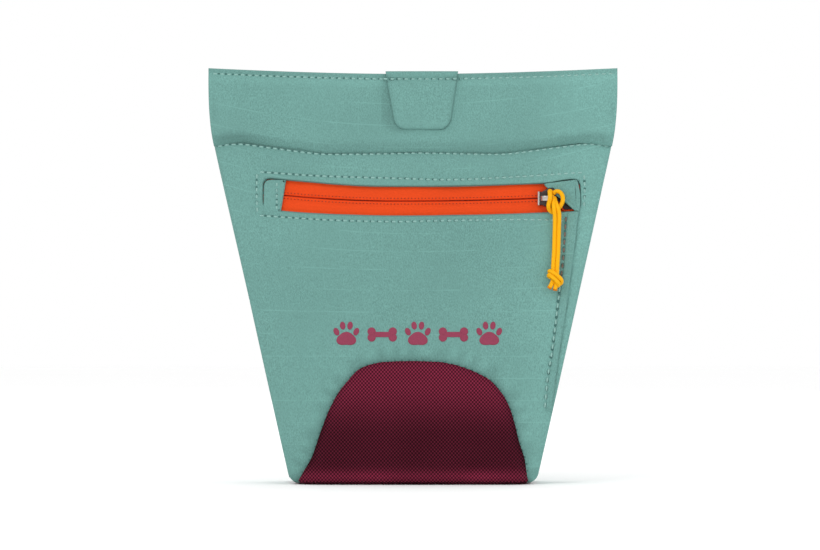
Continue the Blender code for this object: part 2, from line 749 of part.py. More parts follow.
# --- Grab tab ---
def make_grab_tab():
    """A cloth tab caught in the rim's stitching, wider at the rim, with two round lower corners."""
    top, foot = TAB_TOP_WIDTH / 2, TAB_FOOT_WIDTH / 2
    outline = (
        [(top, 0), (-top, 0)]
        + arc(-foot + TAB_RADIUS, TAB_RADIUS - TAB_LENGTH, TAB_RADIUS, 180, 270)
        + arc(foot - TAB_RADIUS, TAB_RADIUS - TAB_LENGTH, TAB_RADIUS, 270, 360)
    )
    tab = flat_piece("grab_tab", outline, TAB_THICKNESS, CANVAS)
    z = HEIGHT - TAB_DROP
    lean = front_slope(z - TAB_LENGTH / 2)
    tab.location = (TAB_SHIFT, front_y(TAB_SHIFT, z) - TAB_GAP - TAB_THICKNESS / 2, z)
    tab.rotation_euler.x = -lean


# --- Back hardware ---
def make_belt_loop():
    """Webbing sewn down at both ends, standing off the back between them to pass a belt."""
    low, high = LOOP_FOOT, LOOP_TOP
    lift = GAP + WEBBING / 2
    out = BACK_Y + BACK_STANDOFF - WEBBING / 2
    ramp = BELT_ROOM * 0.8
    route = [
        (back_y(0, low) + lift, low),
        (back_y(0, low + LOOP_SEWN) + lift, low + LOOP_SEWN),
        (out, low + LOOP_SEWN + ramp),
        (out, high - LOOP_SEWN - ramp),
        (back_y(0, high - LOOP_SEWN) + lift, high - LOOP_SEWN),
        (back_y(0, high) + lift, high),
    ]
    places = np.array(route)

    def surface(x, step):
        index = step.astype(int)
        return x, places[index, 0], places[index, 1]

    wall("belt_loop", np.array([-LOOP_WIDTH / 2, LOOP_WIDTH / 2]), np.arange(len(route)),
         surface, WEBBING, WEB)


def make_clip(panel, board):
    """A steel strip riveted to the back, bent over at its top into a tongue that grips a belt."""
    lift = GAP + CLIP_STEEL / 2
    half = CLIP_WIDTH / 2
    radius = (CLIP_ROOM + CLIP_STEEL) / 2
    bend_z = CLIP_TOP - radius

    def plate(x, z):
        return x, back_y(0 * x, z) + lift, z

    heights = span(CLIP_FOOT + PLATE_RISE, bend_z - CLIP_CUT, 5)
    fixed = wall("clip_plate", np.linspace(-half, half, 3), heights, plate, CLIP_STEEL, STEEL)
    middle_y = back_y(0, bend_z) + lift + radius
    turns = np.linspace(math.pi, 0, 9)
    bend = [(middle_y + radius * math.cos(t), bend_z + radius * math.sin(t)) for t in turns]
    lean = back_slope((CLIP_FOOT + CLIP_TOP) / 2)
    outer = bend[-1][0]
    foot = CLIP_FOOT + TONGUE_LIP_RISE
    tongue = bend + [
        (outer + (bend_z - z) * math.tan(-lean), z) for z in np.linspace(bend_z, foot, 4)[1:]
    ]
    tongue.append((tongue[-1][0] + CLIP_LIP, CLIP_FOOT))
    places = np.array(tongue)

    def surface(x, step):
        index = step.astype(int)
        return x, places[index, 0], places[index, 1]

    wall("clip_tongue", np.linspace(-half, half, 3), np.arange(len(places)), surface, CLIP_STEEL, STEEL)

    z = CLIP_FOOT + RIVET_RISE
    turn = Matrix.Rotation(math.pi / 2 - back_slope(z), 4, "X")
    face = back_y(0, z)
    head_y = face + GAP + CLIP_STEEL + GAP + RIVET_HEAD_HEIGHT / 2
    depth = GAP + CLIP_STEEL + GAP + PANEL + GAP + STIFFENER
    for side, x in (("left", -RIVET_SPREAD), ("right", RIVET_SPREAD)):
        hole = as_cutter(add_object(f"rivet_hole_{side}", disc_mesh(
            "rivet_hole", RIVET_SHANK + RIVET_CLEARANCE, RIVET_CUT_DEPTH,
            Matrix.Translation((x, face, z)) @ turn, 20), None, CUTTERS))
        for obj in (fixed, panel, board):
            boolean(obj, hole, "DIFFERENCE")
        rivet = add_object(f"clip_rivet_{side}", disc_mesh(
            "rivet", RIVET_HEAD, RIVET_HEAD_HEIGHT, Matrix.Translation((x, head_y, z)) @ turn, 24), STEEL)
        shank = as_cutter(add_object(f"rivet_shank_{side}", disc_mesh(
            "rivet_shank", RIVET_SHANK, depth, Matrix.Translation((x, head_y - depth / 2, z)) @ turn, 20),
            None, CUTTERS))
        boolean(rivet, shank, "UNION")


def main():
    make_front_walls()
    make_side_welt()
    make_rim_bands()
    panel, board = make_back_wall()
    make_base()
    make_liners()
    make_pocket_bag()
    make_gussets()
    make_zip()
    make_zip_ends()
    make_pull(make_slider())
    make_grab_tab()
    make_belt_loop()
    make_clip(panel, board)


main()
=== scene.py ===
"""Looks for the treat pouch: canvas, ballistic nylon, zip, pull cord, webbing, clip and lining.

Every surface is worked out as whole arrays. x runs across and z up. A wall's y comes from front_y or back_y.
Lengths are in metres; tables of points are in millimetres and scaled by MM.
"""

import math

import bpy
import numpy as np
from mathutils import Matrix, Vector


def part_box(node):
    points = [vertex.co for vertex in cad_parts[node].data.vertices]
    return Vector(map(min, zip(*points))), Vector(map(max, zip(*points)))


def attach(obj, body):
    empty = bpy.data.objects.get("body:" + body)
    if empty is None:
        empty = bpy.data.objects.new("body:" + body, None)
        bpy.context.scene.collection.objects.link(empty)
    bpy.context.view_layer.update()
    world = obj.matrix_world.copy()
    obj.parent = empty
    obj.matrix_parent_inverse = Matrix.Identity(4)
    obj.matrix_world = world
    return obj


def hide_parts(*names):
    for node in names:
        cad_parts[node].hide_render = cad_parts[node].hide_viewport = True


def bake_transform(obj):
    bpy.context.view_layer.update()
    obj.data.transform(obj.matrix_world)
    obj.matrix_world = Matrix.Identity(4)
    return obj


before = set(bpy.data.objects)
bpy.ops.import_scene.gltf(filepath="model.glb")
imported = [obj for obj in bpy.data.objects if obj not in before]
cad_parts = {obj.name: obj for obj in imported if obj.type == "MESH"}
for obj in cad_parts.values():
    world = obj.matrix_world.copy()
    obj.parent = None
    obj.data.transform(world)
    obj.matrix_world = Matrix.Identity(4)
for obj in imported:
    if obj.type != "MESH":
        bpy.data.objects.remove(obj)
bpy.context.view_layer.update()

MM = 0.001


# --- Places that come from the frame ---
def low_high(node):
    """The near and far corners of a node's box in the frame."""
    low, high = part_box(node)
    return np.array(low), np.array(high)


LOOP_LOW, LOOP_HIGH = low_high("belt_loop")
TAPE_LOW, TAPE_HIGH = low_high("zip_tape_lower")
SLIDER_LOW, SLIDER_HIGH = low_high("zip_slider")
CLIP_LOW, CLIP_HIGH = low_high("clip_tongue")
PLATE_LOW, PLATE_HIGH = low_high("clip_plate")
BASE_LOW, BASE_HIGH = low_high("base_panel")

# The bag's outside
HEIGHT = 0.182
RIM_HALF = low_high("front_rim_band")[1][0]
BASE_HALF = 0.0538
FRONT_Y = low_high("front_base_patch")[0][1]
BACK_Y = low_high("back_panel")[1][1]
RIM_BACK_Y = BACK_Y - 0.010
RIM_FRONT_Y = RIM_BACK_Y - 0.009
BELLY = 0.020
UNDER_RADIUS = 0.0045
FLARE_DROP = 0.0236
FLARE_SOFTNESS = 0.0014

# The rim band, the zip and the insides
BAND_FOOT = 0.1475
BAND_THICK = 0.0024
STITCH_DROP = 0.0024
ZIP_Z = 0.1244
SLIDER_X = (SLIDER_LOW[0] + SLIDER_HIGH[0]) / 2
LINER_INSET = 0.00295
LEAF_INSET = 0.0038
EDGE_ROLL = 0.001

# Cloth, strap and steel thicknesses
CANVAS_THICK = 0.0008
NYLON_THICK = 0.0009
TAPE_THICK = 0.0006
GUSSET_THICK = 0.0005
LINING_THICK = 0.0004
STRAP_THICK = 0.0018
STEEL_THICK = 0.001
CLIP_HALF = 0.013
STRAP_HALF = 0.019

# Stitching
PITCH = 0.00305
HOLE_SINK = 0.00006
FORWARD, BACKWARD = (0, -1, 0), (0, 1, 0)


# --- Shapes of the bag's walls ---
def ease(value):
    """Smooth step from 0 to 1."""
    t = np.clip(value, 0, 1)
    return t * t * (3 - 2 * t)


def bell(distance, width):
    """A bell-shaped bump: 1 in its middle, and 1/e at its width."""
    return np.exp(-((distance / width) ** 2))


def stack(*parts):
    """Coordinates given apart, put side by side as points."""
    return np.stack(parts, axis=-1)


def half_width(z):
    """A straight taper from the base that rounds off softly to the rim's half width."""
    slope = (RIM_HALF - BASE_HALF) / (HEIGHT - FLARE_DROP)
    taper = BASE_HALF + slope * z
    return taper - FLARE_SOFTNESS * np.log1p(np.exp((taper - RIM_HALF) / FLARE_SOFTNESS))


def under(z):
    """How far a wall has drawn in on the quarter circle by which it rolls under at the base."""
    share = np.clip((UNDER_RADIUS - z) / UNDER_RADIUS, 0, 1)
    return UNDER_RADIUS * (1 - np.sqrt(1 - share**2))


def rise(z):
    """The share of the way up from the belly to the rim."""
    return np.clip((z - BELLY) / (HEIGHT - BELLY), 0, 1)


def set_back(x, z):
    """How far a wall curves in towards its side edges, by the eighth power of the way out."""
    depth = 0.0008 + 0.0065 * (1 - np.clip(z / HEIGHT, 0, 1)) ** 2
    return depth * np.abs(x / half_width(z)) ** 8


def front_y(x, z):
    """The front wall's outer face, fullest at the belly and leaning back to the rim."""
    return RIM_FRONT_Y + (FRONT_Y - RIM_FRONT_Y) * (1 - rise(z) ** 1.3) + set_back(x, z)


def back_y(x, z):
    """The back wall's outer face, nearly upright."""
    return BACK_Y - (BACK_Y - RIM_BACK_Y) * rise(z) ** 1.6 - set_back(x, z)


def seam_shift(x):
    """How far the rim band's lower seam stands above or below its nominal height across the front."""
    far = np.abs(x)
    humps = 0.0016 * bell(far - 0.077, 0.010) + 0.0006 * bell(x - 0.004, 0.018)
    return humps - 0.0029 * (1 - ease((far - 0.036) / 0.032))


def rim_dip(x):
    """How far the rim sags between its corners."""
    return 0.0026 * (1 - np.minimum(np.abs(x) / RIM_HALF, 1) ** 1.8)


def zip_sag(x):
    """The zip's centre line above its lowest height: a parabola each way, steeper to the left."""
    left = 0.0026 * np.clip((-0.005 - x) / 0.052, 0, 2) ** 2
    right = 0.0012 * np.clip((x + 0.005) / 0.058, 0, 2) ** 2
    return left + right - 0.0012


def lifted(x, z):
    """Cloth height to real height: the cloth's level lines follow the zip's sag and the band's seam."""
    near_zip = ease((z - 0.092) / 0.024) * (1 - ease((z - 0.134) / 0.013))
    near_seam = ease((z - 0.134) / (BAND_FOOT - 0.134))
    return z + zip_sag(x) * near_zip + seam_shift(x) * near_seam


WINDOW_MIDDLE = 0.0038
WINDOW_HALF = np.array([0.0694, 0.0064])
WINDOW_RADIUS = 0.0034


def box_distance(x, z, half, radius):
    """Signed distance to a rounded rectangle around the origin, negative inside."""
    qx, qz = np.abs(x) - half[0] + radius, np.abs(z) - half[1] + radius
    outside = np.hypot(np.maximum(qx, 0), np.maximum(qz, 0))
    return outside + np.minimum(np.maximum(qx, qz), 0) - radius


def window_distance(x, z):
    """Signed distance from the zip window's edge, which follows the zip's sag and is taller at its ends."""
    level = (z - ZIP_Z - zip_sag(x)) / (1 + 0.07 * ease((-x - 0.015) / 0.04))
    level = np.where(level > 0, level - 0.0012 * ease((x - 0.057) / 0.012), level)
    return box_distance(x - WINDOW_MIDDLE, level, WINDOW_HALF, WINDOW_RADIUS)


ARCH_HEIGHT = 0.0538
ARCH_HALF = 0.0508


def arch_half(z):
    """The base patch's half width: sides that draw in as they rise, closed by a broad round top."""
    share = np.clip(z / ARCH_HEIGHT, 0, 1)
    return (ARCH_HALF - 0.33 * z) * (1 - share**6) ** (1 / 3)


def run_along(points):
    """Each point's distance along its line, from the line's start."""
    return np.concatenate([[0], np.cumsum(np.linalg.norm(np.diff(points, axis=0), axis=1))])


def spots_on(points, distances):
    """The places on a line at given distances from its start."""
    along = run_along(points)
    return stack(*(np.interp(distances, along, column) for column in points.T))


def even_path(points, count):
    """The same line with its points spaced evenly along its length."""
    return spots_on(points, np.linspace(0, run_along(points)[-1], count))


def arch_points():
    """Evenly spaced points along the arch's seam, from its right foot over the top to its left."""
    turn = np.linspace(0, math.pi, 4001)
    z = ARCH_HEIGHT * np.sin(turn)
    shift = 0.0001 + 0.0026 * ease(z / 0.014) - 0.0035 * ease((z - 0.044) / 0.010)
    right = 0.0007 * bell(z - 0.037, 0.009) - 0.0010 * bell(z - 0.016, 0.009)
    x = np.sign(np.cos(turn)) * arch_half(z) + shift + np.where(turn < math.pi / 2, right, 0.0)
    return even_path(stack(x, z), 301)


ARCH = arch_points()


def line_at(points, z):
    """x along a line given as (x, z) in millimetres, at chosen heights."""
    points = np.array(points, float) * MM
    rising = points[points[:, 1].argsort()]
    return np.interp(z, rising[:, 1], rising[:, 0])


# The side seam's folded edge and its topstitching, as (x, z) in millimetres
FOLD = [
    (73.4, 122.8), (72.4, 117.5), (71.7, 113.2), (71.3, 108.8), (71.0, 106.0), (69.6, 96.5), (66.5, 74.0),
    (64.5, 63.0), (62.3, 48.0), (60.3, 33.0), (60.0, 30.0),
]
TOPSTITCH = [
    (67.2, 119.0), (67.0, 118.0), (65.5, 97.0), (63.2, 79.0), (62.0, 69.0), (60.4, 57.0), (58.4, 45.7),
    (57.2, 32.0), (56.9, 29.0),
]


def line_distance(x, z, points):
    """Distance from every (x, z) to the nearest segment of a line, and how far along the line that lies."""
    start, step = points[:-1], np.diff(points, axis=0)
    away_x, away_z = x[..., None] - start[:, 0], z[..., None] - start[:, 1]
    length = np.hypot(step[:, 0], step[:, 1])
    share = np.clip((away_x * step[:, 0] + away_z * step[:, 1]) / length**2, 0, 1)
    gap = np.hypot(away_x - share * step[:, 0], away_z - share * step[:, 1])
    near = gap.argmin(axis=-1)[..., None]
    spot = np.take_along_axis(share * length + np.cumsum(length) - length, near, axis=-1)
    return np.take_along_axis(gap, near, axis=-1)[..., 0], spot[..., 0]


def arch_depth(x, z):
    """How deep (x, z) lies within the arch's seam, negative outside it, and its place along the seam.

    A point is inside when a level line from it to the right crosses the seam an odd number of times.
    """
    (x0, z0), (x1, z1) = ARCH[:-1].T, ARCH[1:].T
    spans = (z0 > z[..., None]) != (z1 > z[..., None])
    crossing = x0 + (z[..., None] - z0) / np.where(z1 == z0, 1, z1 - z0) * (x1 - x0)
    inside = (spans & (crossing > x[..., None])).sum(axis=-1) % 2 == 1
    gap, along = line_distance(x, z, ARCH)
    return np.where(inside, gap, -gap), along


def ripple(x, z, seed, size, height):
    """A smooth, seeded relief: a few crossed waves about one size long."""
    rng = np.random.default_rng(seed)
    total, waves = 0.0, 7
    for _ in range(waves):
        angle, phase = rng.uniform(0, math.pi), rng.uniform(0, 2 * math.pi)
        turns = 2 * math.pi / (size * rng.uniform(0.7, 1.6))
        total = total + np.sin(turns * (x * math.cos(angle) + z * math.sin(angle)) + phase)
    return total * height / waves


def groove(distance, width, depth):
    """A valley of bell-shaped section along a seam."""
    return -depth * bell(distance, width)


def loose(x, z):
    """The front wall's gentle swells, which the canvas and the base patch share."""
    return ripple(x, z, 3, 0.034, 0.0009) + ripple(x, z, 5, 0.012, 0.00022)


def arch_pucker(depth, along):
    """Short folds of the canvas across the arch's seam: a wave along it that fades out away from it."""
    folds = np.sin(2 * math.pi * along / 0.0085 + 1.6 * np.sin(2 * math.pi * along / 0.031))
    return folds * bell(depth + 0.0034, 0.0026)


def panel_relief(x, z):
    """How far the front canvas stands out from the plain wall: seams draw it in, loose cloth swells."""
    seam = BAND_FOOT + seam_shift(x) - z
    hem = window_distance(x, z)
    frame_x, frame_z = x - 0.0025, z - ZIP_Z - zip_sag(x) - 0.0007
    stitched = box_distance(frame_x, frame_z, np.array([0.0715, 0.0099]), 0.002)
    depth, along = arch_depth(x, z)
    relief = loose(x, z) + groove(seam, 0.0022, 0.0011) + groove(stitched, 0.0007, 0.00028)
    relief = relief + groove(depth, 0.0022, 0.0009) + 0.00026 * arch_pucker(depth, along)
    fold = 0.00035 * bell(hem - 0.0007, 0.0006)
    return relief + fold - 0.0028 * ease((0.0003 - hem) / 0.0008) - 0.0016 * ease((depth - 0.0002) / 0.0014)


def panel_y(x, z, lift=0.0):
    """The front canvas's own face, or a surface standing lift in front of it."""
    return front_y(x, z) + under(z) - panel_relief(x, z) - lift


# --- Making meshes ---
def mesh_object(name, points, faces, uv):
    """A mesh from an array of points and a list or array of faces, with one UV for each point."""
    mesh = bpy.data.meshes.new(name)
    faces = faces.tolist() if isinstance(faces, np.ndarray) else faces
    mesh.from_pydata(np.asarray(points, float).reshape(-1, 3).tolist(), [], faces)
    layer = mesh.uv_layers.new(name="UVMap")
    corners = np.empty(len(mesh.loops), np.int32)
    mesh.loops.foreach_get("vertex_index", corners)
    layer.data.foreach_set("uv", np.asarray(uv, float).reshape(-1, 2)[corners].astype(np.float32).ravel())
    mesh.polygons.foreach_set("use_smooth", [True] * len(mesh.polygons))
    obj = bpy.data.objects.new(name, mesh)
    bpy.context.scene.collection.objects.link(obj)
    return obj


def points_of(obj):
    """A mesh's points as an array."""
    points = np.empty(len(obj.data.vertices) * 3, np.float32)
    obj.data.vertices.foreach_get("co", points)
    return points.reshape(-1, 3).astype(float)


def grid_faces(rows, columns, around=False):
    """Quads of a grid of points; around joins its last column to its first."""
    wide = columns if around else columns - 1
    row, column = np.meshgrid(np.arange(rows - 1), np.arange(wide), indexing="ij")
    first = row * columns + column
    second = row * columns + (column + 1) % columns
    return stack(first, second, second + columns, first + columns).reshape(-1, 4)


def cloth(name, points, uv, thickness, keep=None, flip=False):
    """A sheet over a grid of points, thickened behind its face, without the faces that keep leaves out."""
    rows, columns = points.shape[:2]
    faces = grid_faces(rows, columns)
    if keep is not None:
        kept = keep.reshape(-1)[faces].any(axis=1)
        faces = faces[kept]
    if flip:
        faces = faces[:, ::-1]
    used = np.unique(faces)
    number = np.zeros(rows * columns, int)
    number[used] = np.arange(len(used))
    obj = mesh_object(name, points.reshape(-1, 3)[used], number[faces], uv.reshape(-1, 2)[used])
    wall = obj.modifiers.new("thickness", "SOLIDIFY")
    wall.thickness = thickness
    wall.offset = -1
    return obj


def tube_object(name, rings, uv=None):
    """A closed profile carried along a path: rings[i] is the profile at step i. A face closes each end."""
    steps, sides = rings.shape[:2]
    faces = grid_faces(steps, sides, around=True).tolist()
    faces += [list(range(sides))[::-1], list(range((steps - 1) * sides, steps * sides))]
    if uv is None:
        uv = np.stack(np.meshgrid(np.linspace(0, 1, sides), np.linspace(0, 1, steps)), axis=-1)
    return outward(mesh_object(name, rings, faces, uv))


def outward(obj):
    """Turns a closed mesh right side out if its faces enclose a negative volume."""
    mesh = obj.data
    mesh.calc_loop_triangles()
    corners = np.empty(len(mesh.loop_triangles) * 3, np.int32)
    mesh.loop_triangles.foreach_get("vertices", corners)
    if np.linalg.det(points_of(obj)[corners].reshape(-1, 3, 3)).sum() < 0:
        mesh.flip_normals()
    return obj


def strip(name, outer, inner, uv):
    """A flat piece as a closed tube: outer and inner are the same grid of points on its two faces."""
    rings = np.concatenate([outer, inner[:, ::-1]], axis=1)
    return tube_object(name, rings, np.concatenate([uv, uv[:, ::-1]], axis=1))


def smooth_path(points, count):
    """Points evenly numbered on a Catmull-Rom curve through a few chosen ones."""
    points = np.asarray(points, float)
    knots = np.concatenate([2 * points[:1] - points[1:2], points, 2 * points[-1:] - points[-2:-1]])
    spots = np.linspace(0, len(points) - 1 - 1e-9, count)
    index = spots.astype(int)
    t = (spots - index)[:, None]
    a, b, c, d = (knots[index + k] for k in range(4))
    return 0.5 * (2 * b + (c - a) * t + (2 * a - 5 * b + 4 * c - d) * t**2 + (3 * b - a - 3 * c + d) * t**3)


def path_length(points):
    """A line's whole length."""
    return float(np.linalg.norm(np.diff(points, axis=0), axis=1).sum())


def round_rings(path, radius, sides=14):
    """Circles across a path, on a frame carried along it without twisting; radius may vary along it."""
    tangent = np.gradient(path, axis=0)
    tangent /= np.linalg.norm(tangent, axis=1)[:, None]
    side = np.empty_like(path)
    start = np.cross(tangent[0], [0.0, 1.0, 0.3])
    side[0] = start / np.linalg.norm(start)
    for k in range(1, len(path)):
        carried = side[k - 1] - tangent[k] * (side[k - 1] @ tangent[k])
        side[k] = carried / np.linalg.norm(carried)
    other = np.cross(tangent, side)
    turn = np.linspace(0, 2 * math.pi, sides, endpoint=False)
    radius = np.broadcast_to(np.asarray(radius, float), len(path))[:, None, None]
    ring = np.cos(turn)[None, :, None] * side[:, None] + np.sin(turn)[None, :, None] * other[:, None]
    return path[:, None] + radius * ring


def flat_stack(name, outline, levels):
    """A flat piece with rounded rims: its outline at several depths, each drawn in by its own amount.

    outline is (x, z) round the piece, and levels lists (y, drawn_in). Each point draws in along its normal.
    """
    outline = np.asarray(outline, float)
    ahead, behind = np.roll(outline, -1, axis=0), np.roll(outline, 1, axis=0)
    along = ahead - behind
    normal = stack(along[:, 1], -along[:, 0])
    normal /= np.linalg.norm(normal, axis=1)[:, None]
    area = np.sum(outline[:, 0] * ahead[:, 1] - ahead[:, 0] * outline[:, 1])
    normal *= np.sign(area)
    rings = []
    for y, drawn_in in levels:
        moved = outline - normal * drawn_in
        rings.append(stack(moved[:, 0], np.full(len(moved), y), moved[:, 1]))
    rings = np.array(rings)
    return tube_object(name, rings, rings[..., [0, 2]])


def round_corners(corners, radius, steps=6):
    """A polygon's outline with each corner turned into a small curve."""
    corners = np.asarray(corners, float)
    radius = np.broadcast_to(np.asarray(radius, float), len(corners))
    points = []
    for k, corner in enumerate(corners):
        before, after = corners[k - 1] - corner, corners[(k + 1) % len(corners)] - corner
        reach_before = min(radius[k], np.linalg.norm(before) * 0.49)
        reach_after = min(radius[k], np.linalg.norm(after) * 0.49)
        first = corner + before / np.linalg.norm(before) * reach_before
        last = corner + after / np.linalg.norm(after) * reach_after
        t = np.linspace(0, 1, steps + 1)[:, None]
        points.append((1 - t) ** 2 * first + 2 * t * (1 - t) * corner + t**2 * last)
    return np.concatenate(points)


def join(name, pieces):
    """Several pieces as one mesh."""
    bpy.ops.object.select_all(action="DESELECT")
    for piece in pieces:
        piece.select_set(True)
    bpy.context.view_layer.objects.active = pieces[0]
    bpy.ops.object.join()
    pieces[0].name = pieces[0].data.name = name
    return pieces[0]


# --- Stitching ---
def stitch_row(name, path, outward_way, pitch, length, width, height):
    """Thread lying in even stitches along a line: one small rounded bead for each, set along the line."""
    total = path_length(path)
    count = max(int(round(total / pitch)), 1)
    along = (np.arange(count) + 0.5) * total / count
    middle = spots_on(path, along)
    forward = spots_on(path, along + pitch / 4) - spots_on(path, along - pitch / 4)
    forward /= np.linalg.norm(forward, axis=1)[:, None]
    out = np.broadcast_to(np.asarray(outward_way, float), forward.shape)
    out = out - forward * np.sum(out * forward, axis=1)[:, None]
    out /= np.linalg.norm(out, axis=1)[:, None]
    side = np.cross(forward, out)
    ends = np.array([-1.0, -0.72, 0.0, 0.72, 1.0])
    girth = np.array([0.25, 0.85, 1.0, 0.85, 0.25])
    dip = np.array([-0.9, -0.15, 0.25, -0.15, -0.9])
    turn = np.linspace(0, 2 * math.pi, 6, endpoint=False)
    local = stack(
        np.broadcast_to(ends[:, None] * length / 2, (5, 6)),
        girth[:, None] * np.cos(turn) * width / 2,
        girth[:, None] * np.sin(turn) * height / 2 + dip[:, None] * height / 2).reshape(-1, 3)
    basis = np.stack([forward, side, out], axis=1)
    points = middle[:, None] + np.einsum("pk,nkj->npj", local, basis)
    quads = grid_faces(5, 6, around=True)
    caps = np.array([[0, 1, 2, 3], [3, 4, 5, 0], [24, 29, 28, 27], [27, 26, 25, 24]])
    one = np.concatenate([quads[:, ::-1], caps])
    faces = (one[None] + (np.arange(count) * 30)[:, None, None]).reshape(-1, 4)
    uv = np.broadcast_to(local[None, :, :2], (count, 30, 2))
    return outward(mesh_object(name, points, faces, uv))


def front_line(xz, lift):
    """A line standing a lift off the front canvas, through chosen (x, z) points in millimetres."""
    count = 400
    line = even_path(smooth_path(np.array(xz, float) * MM, count), count)
    y = panel_y(line[:, 0], line[:, 1], lift)
    return stack(line[:, 0], y, line[:, 1])


# --- Materials ---
def srgb(red, green, blue):
    """A colour given as 0 to 255 display values, as linear ones."""
    value = np.array([red, green, blue]) / 255
    linear = np.where(value <= 0.04045, value / 12.92, ((value + 0.055) / 1.055) ** 2.4)
    return (*linear.tolist(), 1.0)


class Finish:
    """A material under construction: short names for the nodes that its recipe needs."""

    def __init__(self, name, roughness=0.8, metallic=0.0, sheen=0.0, coat=0.0, specular=0.25):
        self.material = bpy.data.materials.new(name)
        self.material.use_nodes = True
        self.tree = self.material.node_tree
        self.shader = self.tree.nodes["Principled BSDF"]
        self.shader.inputs["Roughness"].default_value = roughness
        self.shader.inputs["Metallic"].default_value = metallic
        self.shader.inputs["Sheen Weight"].default_value = sheen
        self.shader.inputs["Sheen Roughness"].default_value = 0.5
        self.shader.inputs["Coat Weight"].default_value = coat
        self.shader.inputs["Specular IOR Level"].default_value = specular
        self.coordinates = self.tree.nodes.new("ShaderNodeTexCoord")

    def link(self, out, into):
        self.tree.links.new(out, into)

    def set(self, socket, value):
        if hasattr(value, "is_linked"):
            self.link(value, socket)
        else:
            socket.default_value = value

    def math(self, operation, a, b=0.0, c=None):
        node = self.tree.nodes.new("ShaderNodeMath")
        node.operation = operation
        self.set(node.inputs[0], a)
        self.set(node.inputs[1], b)
        if c is not None:
            self.set(node.inputs[2], c)
        return node.outputs[0]

    def noise(self, scale, detail=2.0, stretch=(1, 1, 1), roughness=0.55):
        mapping = self.tree.nodes.new("ShaderNodeMapping")
        mapping.inputs["Scale"].default_value = stretch
        self.link(self.coordinates.outputs["Object"], mapping.inputs["Vector"])
        node = self.tree.nodes.new("ShaderNodeTexNoise")
        node.inputs["Scale"].default_value = scale
        node.inputs["Detail"].default_value = detail
        node.inputs["Roughness"].default_value = roughness
        self.link(mapping.outputs["Vector"], node.inputs["Vector"])
        return node.outputs["Fac"]

    def uv(self):
        split = self.tree.nodes.new("ShaderNodeSeparateXYZ")
        self.link(self.coordinates.outputs["UV"], split.inputs[0])
        return split.outputs["X"], split.outputs["Y"]

    def mix(self, share, a, b):
        node = self.tree.nodes.new("ShaderNodeMix")
        node.data_type = "RGBA"
        self.set(node.inputs["Factor"], share)
        self.set(node.inputs["A"], a)
        self.set(node.inputs["B"], b)
        return node.outputs["Result"]

    def remap(self, value, low, high, to_low=0.0, to_high=1.0):
        node = self.tree.nodes.new("ShaderNodeMapRange")
        self.set(node.inputs["Value"], value)
        for name, number in zip(("From Min", "From Max", "To Min", "To Max"), (low, high, to_low, to_high)):
            node.inputs[name].default_value = number
        return node.outputs["Result"]

    def color(self, value):
        self.set(self.shader.inputs["Base Color"], value)
        return self

    def bump(self, height, distance):
        node = self.tree.nodes.new("ShaderNodeBump")
        node.inputs["Distance"].default_value = distance
        self.link(height, node.inputs["Height"])
        self.link(node.outputs["Normal"], self.shader.inputs["Normal"])
        return self


def shade(color, factor):
    """A colour made darker or lighter by a factor."""
    return (*[min(c * factor, 1.0) for c in color[:3]], 1.0)


def line_mask(finish, coordinate, pitch, width):
    """1 on thin lines a pitch apart, falling off softly to both sides."""
    turn = finish.math("MULTIPLY", coordinate, 1 / pitch)
    saw = finish.math("FRACT", turn)
    away = finish.math("ABSOLUTE", finish.math("SUBTRACT", saw, 0.5))
    return finish.remap(away, 0.0, width / pitch, 1.0, 0.0)


def wave(finish, coordinate, pitch):
    """A sine wave along a coordinate, from -1 to 1, with its crests a pitch apart."""
    return finish.math("SINE", finish.math("MULTIPLY", coordinate, 2 * math.pi / pitch))


def store_painted_shade(obj, amount):
    """Stores a piece's painted shade at each point, from a function of x and z: positive to darken the
    cloth, negative for painted highlights.
    """
    points = points_of(obj)
    # The attribute carries the painted shade and painted highlights that the materials read.
    layer = obj.data.attributes.new("painted_shade", "FLOAT", "POINT")
    layer.data.foreach_set("value", np.clip(amount(points[:, 0], points[:, 2]), -4, 1).astype(np.float32))
    return obj


def front_painted_shade(x, z):
    """Painted shade beside the lapped seam, the arch and its puckers, the zip's window and the rim band,
    with a soft broad painted shade in the middle and a painted highlight that makes it paler to the right.
    """
    beside = x - line_at(FOLD, z)
    lapped = bell(np.maximum(beside, -beside * 2.5), 0.0007)
    lapped = lapped * ease((z - 0.029) / 0.003) * (1 - ease((z - 0.1215) / 0.002))
    depth, along = arch_depth(x, z)
    hem = window_distance(x, z)
    seam = BAND_FOOT + seam_shift(x) - z
    out = x / half_width(z)
    paler = 0.28 * ease((out - 0.55) / 0.4) - 0.06 * ease(-out - 0.7)
    soft = 0.08 * bell(x + 0.004, 0.035) * bell(z - 0.09, 0.03) + ripple(x, z, 13, 0.05, 0.10)
    arch = 0.45 * bell(depth, 0.0010) + 0.12 * bell(depth, 0.004) - 0.16 * arch_pucker(depth, along)
    return 0.75 * lapped + arch + 0.45 * bell(hem, 0.0005) + 0.30 * bell(seam, 0.0012) + soft - paler


def patch_painted_shade(x, z):
    """Painted shade on the base patch: darkest low on its belly and along its seam, with painted highlights
    that make it paler near its top and where it rolls under, strongest at two glints.
    """
    depth, _ = arch_depth(x, z)
    glints = 0.35 * bell(x + 0.0175, 0.008) + 0.35 * bell(x - 0.0295, 0.008)
    roll = bell(z - 0.0030, 0.0030) * (0.75 + glints)
    top = 2.4 * ease((z - 0.020) / 0.024)
    return 0.9 * bell(depth, 0.0013) + 0.12 - top - 3.2 * roll + ripple(x, z, 17, 0.03, 0.3)


